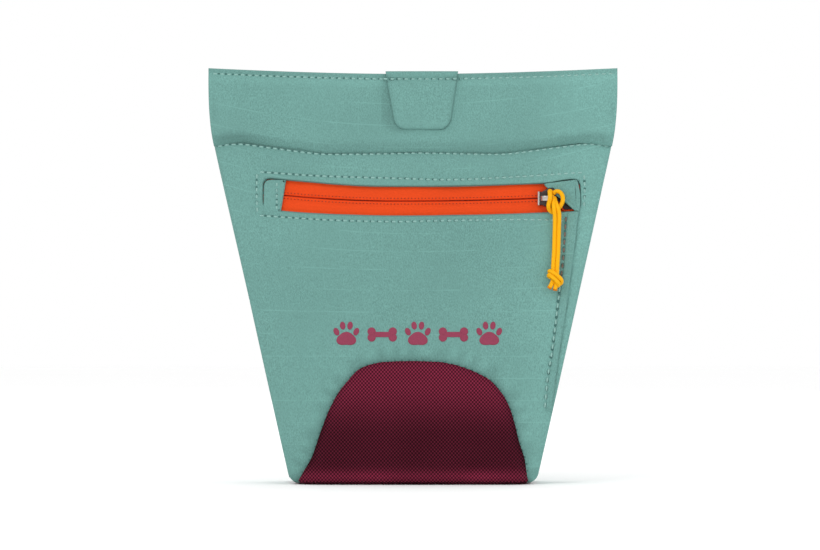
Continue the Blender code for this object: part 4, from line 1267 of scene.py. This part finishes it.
def ribbon(name, route, half_wide, thick):
    """A strip as wide as the belt hardware, carried along a route in (y, z), with rounded edges.

    UV runs across it and along it in metres.
    """
    ahead = np.gradient(route, axis=0)
    ahead /= np.linalg.norm(ahead, axis=1)[:, None]
    out = stack(ahead[:, 1], -ahead[:, 0])
    wide = rounded_profile(half_wide, thick / 2)
    dense = []
    for first, second in zip(wide, np.roll(wide, -1, axis=0)):
        count = max(int(np.linalg.norm(second - first) / 0.0025), 1)
        dense += [first + (second - first) * k / count for k in range(count)]
    profile = np.array(dense)
    along = run_along(route)
    rings = np.empty((len(route), len(profile), 3))
    rings[..., 0] = profile[None, :, 0]
    rings[..., 1] = route[:, None, 0] + out[:, None, 0] * profile[None, :, 1]
    rings[..., 2] = route[:, None, 1] + out[:, None, 1] * profile[None, :, 1]
    uv = stack(rings[..., 0], np.broadcast_to(along[:, None], rings.shape[:2]))
    return tube_object(name, rings, uv)


def cord_path(points, count):
    """A cord's line through (x, z, how far in front of the wall), all in millimetres.

    The knot's end stands off a little more, to clear the wall's fuller middle as the slider travels.
    """
    line = smooth_path(np.array(points, float) * MM, count * 3)
    line = even_path(line, count)
    y = front_y(line[:, 0], line[:, 1]) - line[:, 2] - 0.0009 * ease((0.112 - line[:, 1]) / 0.022)
    return stack(line[:, 0], y, line[:, 1])


CORD = 0.0019
LEFT_HALF = [
    (61.4, 126.4, 1.0), (62.4, 127.4, 1.5), (64.0, 127.3, 2.1), (65.3, 125.6, 2.5), (65.4, 123.2, 2.6),
    (64.4, 121.0, 2.2), (63.0, 119.3, 1.5), (61.6, 118.3, 1.3), (60.2, 118.7, 2.2), (59.3, 120.2, 3.0),
    (59.3, 122.0, 3.6), (59.8, 124.2, 4.0), (59.8, 126.4, 3.7), (59.8, 127.6, 2.4), (60.5, 127.0, 1.0),
    (61.0, 125.2, 1.0), (61.3, 123.6, 2.4), (61.4, 122.0, 3.6), (61.5, 120.0, 3.9), (61.9, 117.0, 3.3),
    (61.9, 112.0, 2.4), (61.8, 108.8, 2.1), (61.5, 101.0, 2.0), (61.1, 95.5, 2.6), (61.0, 92.0, 2.7),
    (61.1, 89.5, 2.8), (60.5, 87.4, 2.7), (59.3, 85.1, 2.3),
]
RIGHT_HALF = [
    (61.9, 124.6, 0.9), (62.2, 123.2, 2.0), (62.7, 121.6, 3.2), (63.3, 119.9, 3.7), (63.8, 117.5, 3.4),
    (63.8, 114.5, 2.8), (63.7, 112.0, 2.4), (63.6, 108.8, 2.1), (63.3, 101.0, 2.0), (62.9, 95.5, 2.6),
    (62.7, 92.0, 2.7), (62.6, 89.8, 2.8), (62.3, 87.2, 2.6), (61.8, 84.2, 2.2),
]
WRAPS = [
    [(60.6, 91.2, 1.2), (59.5, 92.3, 2.0), (59.9, 92.5, 3.4), (61.4, 91.6, 4.7), (63.0, 90.4, 4.7),
     (64.3, 89.1, 3.8), (64.6, 87.9, 2.6), (63.8, 87.0, 1.5), (62.4, 87.4, 1.0)],
    [(60.4, 89.7, 1.2), (59.2, 90.5, 2.2), (59.6, 90.8, 3.5), (60.9, 89.8, 4.6), (62.3, 88.5, 4.5),
     (63.3, 87.3, 3.5), (63.2, 86.4, 2.3), (62.2, 86.8, 1.3)],
]


def braided(name, path, radius):
    """A round cord along a path. Its U runs round it and its V along it in metres."""
    rings = round_rings(path, radius)
    around = np.broadcast_to(np.linspace(0, 1, rings.shape[1]), rings.shape[:2])
    along = np.broadcast_to(np.linspace(0, path_length(path), len(path))[:, None], rings.shape[:2])
    return tube_object(name, rings, stack(around, along))


def make_cord():
    """The doubled cord hitched round the bridge, its overhand knot and its two singed ends."""
    for name, points in (("left", LEFT_HALF), ("right", RIGHT_HALF)):
        path = cord_path(points, 150)
        half = braided(f"pull_cord_{name}_half", path, CORD / 2)
        finished(half, YELLOW, None, "yellow_cord", "pull_cord")
        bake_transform(half)
        coarse = even_path(path, 60)
        round(path_length(path), 3)
        last = (path[-1] - path[-4]) / np.linalg.norm(path[-1] - path[-4])
        tip = even_path(path[-1] + last * np.array([[-0.0006], [0.0002]]), 6)
        blob = CORD / 2 * np.array([1.02, 1.1, 1.12, 1.1, 1.0, 0.6])
        end = tube_object(f"pull_cord_{name}_end", round_rings(tip, blob))
        finished(end, BURNT, "pull", "yellow_cord")
    wraps = [braided(f"wrap_{k}", cord_path(points, 60), CORD / 2 * 1.02) for k, points in enumerate(WRAPS)]
    knot = join("pull_knot_wraps", wraps)
    finished(knot, YELLOW, "pull", "yellow_cord", "pull_knot")


# --- Tab, welt and print ---
def make_tab():
    """A doubled cloth tab caught by the rim's stitches, with slanting sides and round lower corners."""
    top, foot, low = 0.1805, 0.1546, 0.0056
    round_part = foot + low * np.cos(np.linspace(0.06, 1.0, 16) * math.pi / 2)
    rows = np.concatenate([np.linspace(top, foot + low, 30), round_part])
    middle = np.interp(rows, [foot, top], [0.00415, 0.0039])
    half = np.interp(rows, [0.1590, top], [0.01245, 0.0160])
    cut = np.clip((foot + low - rows) / low, 0, 1)
    half = half - low * (1 - np.sqrt(1 - cut**2))
    u = np.sin(np.linspace(-1, 1, 45) * math.pi / 2)
    x = middle[:, None] + u[None] * half[:, None]
    z = np.broadcast_to(rows[:, None], x.shape)
    y, _ = band_face(x, HEIGHT - rim_dip(x) - z)
    rim_z = HEIGHT - rim_dip(x)
    edge = np.minimum(half[:, None] * (1 - np.abs(u[None])), z - foot)
    dome = np.sqrt(np.clip(edge / 0.0013, 0, 1))
    caught = bell(rim_z - z - STITCH_DROP, 0.0011) * 0.0005
    puff = 0.0005 * ease(edge / 0.006) + ripple(x, z, 41, 0.02, 0.0005)
    outer_y = y - 0.0004 - 0.0013 * dome - puff + caught
    inner_y = y - 0.0002
    uv = stack(x, z)
    tab = strip("grab_tab_cloth", stack(x, outer_y, z), stack(x, inner_y, z), uv)
    finished(tab, CANVAS_PLAIN, None, "teal_canvas", "grab_tab")
    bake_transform(tab)


def make_welt():
    """The lapped seam: a strip that swells from its topstitching to the fold that lies over the side."""
    z = np.linspace(0.0300, 0.1186, 110)
    left, right = line_at(TOPSTITCH, z) - 0.0016, line_at(FOLD, z)
    share = np.concatenate([np.linspace(0, 0.95, 22), [0.975, 0.99, 1.0, 1.0]])
    x = left[:, None] + share[None] * (right - left)[:, None]
    grid_z = np.broadcast_to(z[:, None], x.shape)
    stitched = line_at(TOPSTITCH, z)[:, None]
    lift = 0.0015 * ease((x - left[:, None]) / 0.0028) - 0.0009
    lift = lift - 0.00028 * bell(x - stitched, 0.0006)
    lift = lift - 0.0003 * bell(x - stitched + 0.0022, 0.0008) + 0.0002 * ease((x - stitched) / 0.003)
    lift = lift + ripple(x, grid_z, 51, 0.018, 0.0002)
    drop = np.array([0.0] * (len(share) - 4) + [0.00008, 0.0003, 0.0007, 0.0013])
    ends = 1 - ease((0.0330 - grid_z) / 0.0030)
    lift = (lift + 0.0009) * ends - 0.0009
    y = panel_y(x, grid_z) - lift + drop
    outer = stack(x, y, grid_z)
    inner = stack(x - np.where(share > 0.96, 0.0004, 0.0), panel_y(x, grid_z) + 0.0013, grid_z)
    welt = strip("side_welt_cloth", outer, inner, stack(x, grid_z))
    finished(welt, CANVAS, "front", "teal_canvas", "side_welt")
    change = 0.0865
    rows = (("upper", 0.117, change, BROWN_THREAD), ("lower", change, 0.0325, THREAD))
    for name, top, foot, thread in rows:
        line_z = np.linspace(top, foot, 200)
        line_x = line_at(TOPSTITCH, line_z)
        path = stack(line_x, panel_y(line_x, line_z) - 0.00042, line_z)
        sewn(f"side_welt_{name}_stitches", path, FORWARD, "front", 0.0036, thread)


def ellipse(x, z, half_x, half_z, tilt=0.0):
    """An ellipse's outline about (x, z), tilted by an angle."""
    turn = np.linspace(0, 2 * math.pi, 28, endpoint=False)
    px, pz = half_x * np.cos(turn), half_z * np.sin(turn)
    cos, sin = math.cos(tilt), math.sin(tilt)
    return stack(x + px * cos - pz * sin, z + px * sin + pz * cos)


def bone(x, z, half_length, knob, waist):
    """A bone as five outlines: a straight shaft and two round knobs at each end."""
    end_x, end_z = half_length - knob, knob * 0.72
    shaft = np.array([(-end_x, -waist), (end_x, -waist), (end_x, waist), (-end_x, waist)])
    spots = [(a * end_x, b * end_z) for a in (-1, 1) for b in (-1, 1)]
    return [shaft + np.array([x, z])] + [ellipse(x + right, z + up, knob, knob) for right, up in spots]


def paw(x, z, size):
    """A paw print as five outlines: a broad pad and four toes in an arc."""
    turn = np.linspace(0, 2 * math.pi, 40, endpoint=False)
    wide = 0.40 + 0.05 * np.cos(2 * turn) - 0.04 * np.sin(3 * turn)
    pad = stack(x + size * wide * np.cos(turn), z - 0.24 * size + size * 0.86 * wide * np.sin(turn))
    toes = [(-0.46, 0.10, 0.42), (-0.17, 0.38, 0.14), (0.17, 0.38, -0.14), (0.46, 0.10, -0.42)]
    wide, tall = 0.125 * size, 0.185 * size
    return [pad] + [ellipse(x + size * a, z + size * b, wide, tall, tilt) for a, b, tilt in toes]


def make_print():
    """A screen-printed row of paw prints and bones, each shape a thin film that follows the canvas."""
    shapes = []
    for middle in (-0.0290, 0.0021, 0.0332):
        shapes += paw(middle, 0.0653, 0.0094)
    for middle in (-0.0134, 0.0176):
        shapes += bone(middle, 0.0650, 0.0064, 0.0018, 0.00115)
    pieces = []
    for k, outline in enumerate(shapes):
        outline = even_path(np.concatenate([outline, outline[:1]]), 61)[:-1]
        middle = outline.mean(axis=0)
        shrink = np.array([0.05, 1.0, 1.0, 0.985, 0.8, 0.6, 0.4, 0.2, 0.05])
        lift = np.array([-0.0003, -0.0003, 0.00008, 0.00016, 0.00018, 0.00018, 0.00018, 0.00018, 0.00018])
        rings = middle + shrink[:, None, None] * (outline - middle)
        x, z = rings[..., 0], rings[..., 1]
        y = panel_y(x, z, lift[:, None])
        pieces.append(tube_object(f"mark_{k}", stack(x, y, z), stack(x, z)))
    finished(join("printed_paws_and_bones", pieces), INK, "front", "burgundy_nylon")


# --- Back, base, gussets and lining ---
def make_back_panel():
    """The back canvas and its two rows of stitches."""
    reference = half_width(ZIP_Z)
    columns = np.linspace(-reference, reference, 110)
    across, turned = returned_columns(columns)
    heights = np.linspace(0.006, BAND_FOOT + 0.0004, 90)
    heights = np.concatenate([np.arange(0.0004, 0.0058, 0.0006), heights])
    x, z = np.meshgrid(across, heights)
    turned = np.broadcast_to(turned, x.shape)
    uv = stack(x + turned * np.sign(x) * LEAF_INSET, z)
    x = x / reference * (half_width(z) - under(z))
    relief = ripple(x, z, 61, 0.036, 0.0009) + groove(BAND_FOOT - z, 0.0022, 0.0010)
    patch = box_distance(x, z - (LOOP_LOW[2] + LOOP_HIGH[2]) / 2, np.array([0.019, 0.026]), 0.003)
    relief = relief + groove(np.maximum(patch, 0), 0.003, 0.0003)
    y = back_y(x, z) - under(z) + relief * 0.8
    x, y, z = wrap_sides(x, y, z, turned, -1)
    # The back canvas stores its painted shade over the band's seam.
    panel = store_painted_shade(cloth("back_panel_canvas", stack(x, y, z), uv, CANVAS_THICK, flip=True), back_painted_shade)
    finished(panel, CANVAS, "back", "teal_canvas", "back_panel")
    row_x = np.linspace(-0.0865, 0.0865, 300)
    for name, drop, spot in (("back_rim", STITCH_DROP, None), ("back_band_seam", None, BAND_FOOT + 0.0010)):
        row_z = HEIGHT - rim_dip(row_x) - drop if drop else np.full(300, spot)
        path = stack(row_x, back_y(row_x, row_z) + 0.00012, row_z)
        sewn(f"{name}_stitches", path, BACKWARD, "back")


def box_stitch(name, half_wide, low, high, y_at, body):
    """A sewn box with crossed diagonals."""
    left, right = -half_wide, half_wide
    corners = [(left, low), (right, low), (right, high), (left, high), (left, low), (right, high),
               (left, high), (right, low)]
    line = even_path(np.array(corners), 400)
    path = stack(line[:, 0], y_at(line[:, 1]), line[:, 1])
    beads = stitch_row(name, path, BACKWARD, 0.0028, 0.0021, 0.0007, 0.0005)
    finished(beads, DARK_THREAD, body, "black_webbing")


def make_belt_loop():
    """Webbing sewn down at both ends and standing off the back between them."""
    low, high, sewn_part = LOOP_LOW[2], LOOP_HIGH[2], 0.0085
    out = LOOP_HIGH[1] - 0.0010
    lift = 0.0013

    def wall(z):
        return back_y(np.array(0.0), np.array(z)) + lift

    def strap_face(z):
        return wall(z) + 0.00095

    route = [(wall(z), z) for z in (low, low + sewn_part / 2, low + sewn_part)]
    route += [(out - 0.0022, low + sewn_part + 0.0036), (out, low + sewn_part + 0.0085)]
    route += [(out + 0.0002, (low + high) / 2)]
    route += [(out, high - sewn_part - 0.0085), (out - 0.0022, high - sewn_part - 0.0036)]
    route += [(wall(z), z) for z in (high - sewn_part, high - sewn_part / 2, high)]
    path = even_path(smooth_path(np.array(route), 240), 90)
    loop = ribbon("belt_loop_webbing", path, STRAP_HALF, STRAP_THICK)
    finished(loop, WEBBING, "back", "black_webbing", "belt_loop")
    for name, z0 in (("loop_lower_stitches", low), ("loop_upper_stitches", high - sewn_part)):
        box_stitch(name, 0.0168, z0 + 0.0014, z0 + sewn_part - 0.0014, strap_face, "back")


def make_clip():
    """The riveted plate, the sprung tongue bent over at its top, and two domed rivets."""
    plate_z = np.linspace(PLATE_LOW[2], PLATE_HIGH[2], 30)
    plate_line = stack(back_y(0 * plate_z, plate_z) + CANVAS_THICK, plate_z)
    plate = ribbon("clip_plate_strip", plate_line, CLIP_HALF, STEEL_THICK)
    finished(plate, CLIP_STEEL, "back", "black_steel", "clip_plate")
    radius = 0.0034
    bend_z = 0.144 - radius
    middle_y = float(back_y(np.array(0.0), np.array(bend_z))) + CANVAS_THICK + radius
    turn = np.linspace(math.pi, 0, 25)
    bend = stack(middle_y + radius * np.cos(turn), bend_z + radius * np.sin(turn))
    low, high = CLIP_LOW[2], CLIP_HIGH[2]
    lean = (CLIP_HIGH[1] - 0.0022 - 0.0005 - bend[-1, 0]) / (bend_z - low - 0.005)
    down_z = np.linspace(bend_z - 0.001, low + 0.006, 26)
    straight = stack(bend[-1, 0] + (bend_z - down_z) * lean, down_z)
    lip = straight[-1] + np.array([(0.3, -1.2), (0.9, -2.8), (1.6, -4.3), (2.2, -5.6)]) * MM
    path = even_path(np.concatenate([bend, straight, lip]), 80)
    tongue = ribbon("clip_tongue_strip", path, CLIP_HALF, STEEL_THICK)
    finished(tongue, CLIP_STEEL, "clip_spring", "black_steel", "clip_tongue")
    for node in ("clip_rivet_left", "clip_rivet_right"):
        low, high = low_high(node)
        x, z = (low[0] + high[0]) / 2, (low[2] + high[2]) / 2
        y = high[1] - 0.0008
        turn = np.linspace(0, 2 * math.pi, 32, endpoint=False)
        outline = stack(x + 0.0028 * np.cos(turn), z + 0.0028 * np.sin(turn))
        levels = ((low[1], 0.0013), (y - 0.0001, 0.0013), (y, 0.0), (y + 0.0002, 0.0), (y + 0.0005, 0.0005),
                  (y + 0.0007, 0.0012), (y + 0.0008, 0.0020))
        finished(flat_stack(f"{node}_dome", outline, levels), CLIP_STEEL, "back", "black_steel", node)


def make_base():
    """A pan of nylon: flat underneath, with a rolled edge that turns up round the whole base."""
    half_x, low_y, high_y = BASE_HIGH[0] + 0.0008, BASE_LOW[1] - 0.0004, BASE_HIGH[1] + 0.0004
    corners = np.array([(-half_x, low_y), (half_x, low_y), (half_x, high_y), (-half_x, high_y)])
    outline = round_corners(corners, 0.0144, 12)
    dense = even_path(np.concatenate([outline, outline[:1]]), 161)[:-1]
    middle = dense.mean(axis=0)
    shrink = np.array([0.965, 0.985, 1.0, 0.998, 0.985, 0.965, 0.94, 0.9, 0.8, 0.6, 0.4, 0.2, 0.03])
    z = np.array([4.6, 4.0, 3.0, 1.6, 0.6, 0.15, 0.05, 0.05, 0.1, 0.15, 0.2, 0.2, 0.2]) * MM
    rings = middle + shrink[:, None, None] * (dense - middle)
    x, y = rings[..., 0], rings[..., 1]
    points = stack(x, y, np.broadcast_to(z[:, None], x.shape))
    back = points[::-1].copy()
    back[..., 2] += 0.0012
    back[..., :2] = middle + (back[..., :2] - middle) * 0.985
    rings = np.concatenate([points[::-1], back[::-1]])
    base = tube_object("base_panel_nylon", rings, rings[..., :2] + rings[..., 2:])
    # The base's lighter nylon is painted sheen.
    finished(base, BASE_NYLON_SHEEN, "back", "burgundy_nylon", "base_panel")


def fold_depth(z):
    """How far a gusset folds in between the walls at a height."""
    x = half_width(z) - EDGE_ROLL
    gap = back_y(x, z) - front_y(x, z) - 2 * LEAF_INSET
    foot_x = half_width(np.array(0.0)) - EDGE_ROLL
    foot = (back_y(foot_x, np.array(0.0)) - front_y(foot_x, np.array(0.0))) / 2 - LEAF_INSET
    cloth_length = foot + (0.036 - foot) * z / HEIGHT
    return np.sqrt(np.maximum(cloth_length**2 - (gap / 2) ** 2, 0))


def make_gussets():
    """Each side's cloth, folded in to a soft fold between the walls' seams."""
    q = np.linspace(-1, 1, 41)
    z = np.linspace(0.0028, 0.1800, 90)
    grid_q, grid_z = np.meshgrid(q, z)
    side_x = half_width(grid_z) - EDGE_ROLL
    front, back = front_y(side_x, grid_z) + LEAF_INSET, back_y(side_x, grid_z) - LEAF_INSET
    swell = 0.0030 * ease((grid_z - 0.055) / 0.03) * (1 - ease((grid_z - 0.128) / 0.02))
    middle = (front + back) / 2 + swell
    depth = fold_depth(grid_z)
    soft = 1 - np.sqrt(np.abs(grid_q) ** 2 + 0.004) + 0.002
    x = side_x - depth * np.clip(soft, 0, 1)
    apart = np.where(grid_q < 0, back - middle, middle - front)
    y = middle - grid_q * apart
    y = y - np.sign(grid_q) * 0.0006 * np.sin(np.abs(grid_q) * math.pi) * (1 - ease((grid_z - 0.15) / 0.02))
    wrinkle = ripple(grid_q * 0.03, grid_z, 71, 0.03, 0.0012) * (1 - grid_q**2)
    uv = stack(grid_q * 0.036, grid_z)
    for side, sign in (("left", -1), ("right", 1)):
        points = stack(sign * (x + wrinkle * 0.6), y, grid_z)
        gusset = cloth(f"{side}_gusset_cloth", points, uv, GUSSET_THICK, flip=sign < 0)
        finished(gusset, GUSSET_CLOTH, None, "teal_canvas", f"{side}_gusset_front", f"{side}_gusset_back")
        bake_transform(gusset)


POCKET_FOOT, POCKET_TOP = 0.0719, 0.1339


def lining_bulge(x, z):
    """How far the front lining stands back to clear the zip's pocket."""
    below, above = ease((z - POCKET_FOOT + 0.013) / 0.012), ease((BAND_FOOT - z) / 0.0127)
    side = ease((half_width(z) - 0.0042 - np.abs(x)) / 0.0132)
    return 0.0056 * side * below * above


def make_linings():
    """The linings. The front one ends higher, so that it clears the base when the wall tips out."""
    for name, foot, inward, wall_y in (("front", 0.0078, 1, front_y), ("back", 0.0030, -1, back_y)):
        grid_u, z = np.meshgrid(np.linspace(-1, 1, 91), np.linspace(foot, 0.1778, 90))
        x = grid_u * (half_width(z) - 0.003)
        inside = ease((0.17 - z) / 0.02) * ease((1 - np.abs(grid_u)) / 0.1)
        crumple = ripple(x, z, 81, 0.026, 0.0004) * inside
        bulge = lining_bulge(x, z) if name == "front" else 0.0
        y = wall_y(x, z) + inward * (LINER_INSET + bulge + np.abs(crumple))
        uv = stack(x, z)
        lining = cloth(f"{name}_lining_cloth", stack(x, y, z), uv, LINING_THICK, flip=inward > 0)
        finished(lining, LINING, name, "grey_lining", f"{name}_liner")
    low, high = low_high("base_liner")
    corners = np.array([(low[0], low[1]), (high[0], low[1]), (high[0], high[1]), (low[0], high[1])])
    radius = 0.009
    outline = np.concatenate([round_corners(corners, radius, 10), [corners[0] + (0, radius)]])
    outline = even_path(outline, 121)[:-1]
    middle = outline.mean(axis=0)
    shrink = np.concatenate([[0.03], np.linspace(0.2, 1, 12), np.linspace(1, 0.2, 12), [0.03]])
    rings = middle + shrink[:, None, None] * (outline - middle)
    level = np.concatenate([np.full(13, low[2]), np.full(13, high[2] + 0.0002)])
    points = stack(rings[..., 0], rings[..., 1], np.broadcast_to(level[:, None], rings.shape[:2]))
    points[13:, :, 2] += 0.0002 * np.abs(ripple(points[13:, :, 0], points[13:, :, 1], 91, 0.02, 1.0))
    floor = tube_object("base_lining_cloth", points, rings)
    finished(floor, LINING, "back", "grey_lining", "base_liner")


def make_pocket():
    """The zip pocket's bag: a shallow pouch behind the tapes, sewn to the front all round."""
    u, v = np.meshgrid(np.linspace(-1, 1, 71), np.linspace(0, 1, 40))
    z = POCKET_FOOT + v * (POCKET_TOP - POCKET_FOOT)
    x = u * (half_width(z) - 0.018)
    rim = np.minimum(1 - np.abs(u), np.minimum(v, 1 - v) * 1.8)
    crumple = ripple(x, z, 95, 0.02, 0.0003) * ease(rim / 0.1)
    y = front_y(x, z) + 0.0041 + 0.0038 * ease(rim / 0.07) + crumple
    pocket = cloth("pocket_bag_cloth", stack(x, y, z), stack(x, z), LINING_THICK)
    finished(pocket, LINING, "front", "grey_lining", "pocket_bag")


def finish_frame_nodes():
    """Gives the frame's own hidden pieces their materials."""
    looks = {"zip_coil_upper": COIL, "zip_coil_lower": COIL, "back_stiffener": BOARD}
    looks |= {f"{wall}_magnet_{side}": NICKEL for wall in ("back", "front") for side in ("left", "right")}
    for node, material in looks.items():
        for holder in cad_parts[node].material_slots:
            holder.material = material


def make_rim_stitches():
    """The front's stitches: along the rim, over the tab, and under the band's seam."""
    x = np.linspace(-0.0885, 0.0885, 600)
    y, z = band_face(x, STITCH_DROP)
    on_tab = ease((x + 0.0132) / 0.001) * (1 - ease((x - 0.0200) / 0.001))
    path = stack(x, y - 0.0001 - 0.0019 * on_tab, z)
    sewn("rim_stitches", path, FORWARD, "front")
    x = np.linspace(-0.0862, 0.0862, 600)
    z = BAND_FOOT + seam_shift(x) - 0.0009
    path = stack(x, panel_y(x, z) - 0.00012, z)
    sewn("band_seam_stitches", path, FORWARD, "front")


make_stage()
panel = make_front_panel()
patch = make_base_patch()
for band in (make_band("front_band_canvas", front_y, 1, "front", "front_rim_band", 1),
             make_band("back_band_canvas", back_y, -1, "back", "back_rim_band", 0)):
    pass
make_rim_stitches()
make_tapes()
make_opening()
make_zip_ends()
make_frame_stitches()
make_slider()
make_cord()
make_tab()
make_welt()
make_print()
make_back_panel()
make_belt_loop()
make_clip()
make_base()
make_gussets()
make_linings()
make_pocket()
finish_frame_nodes()
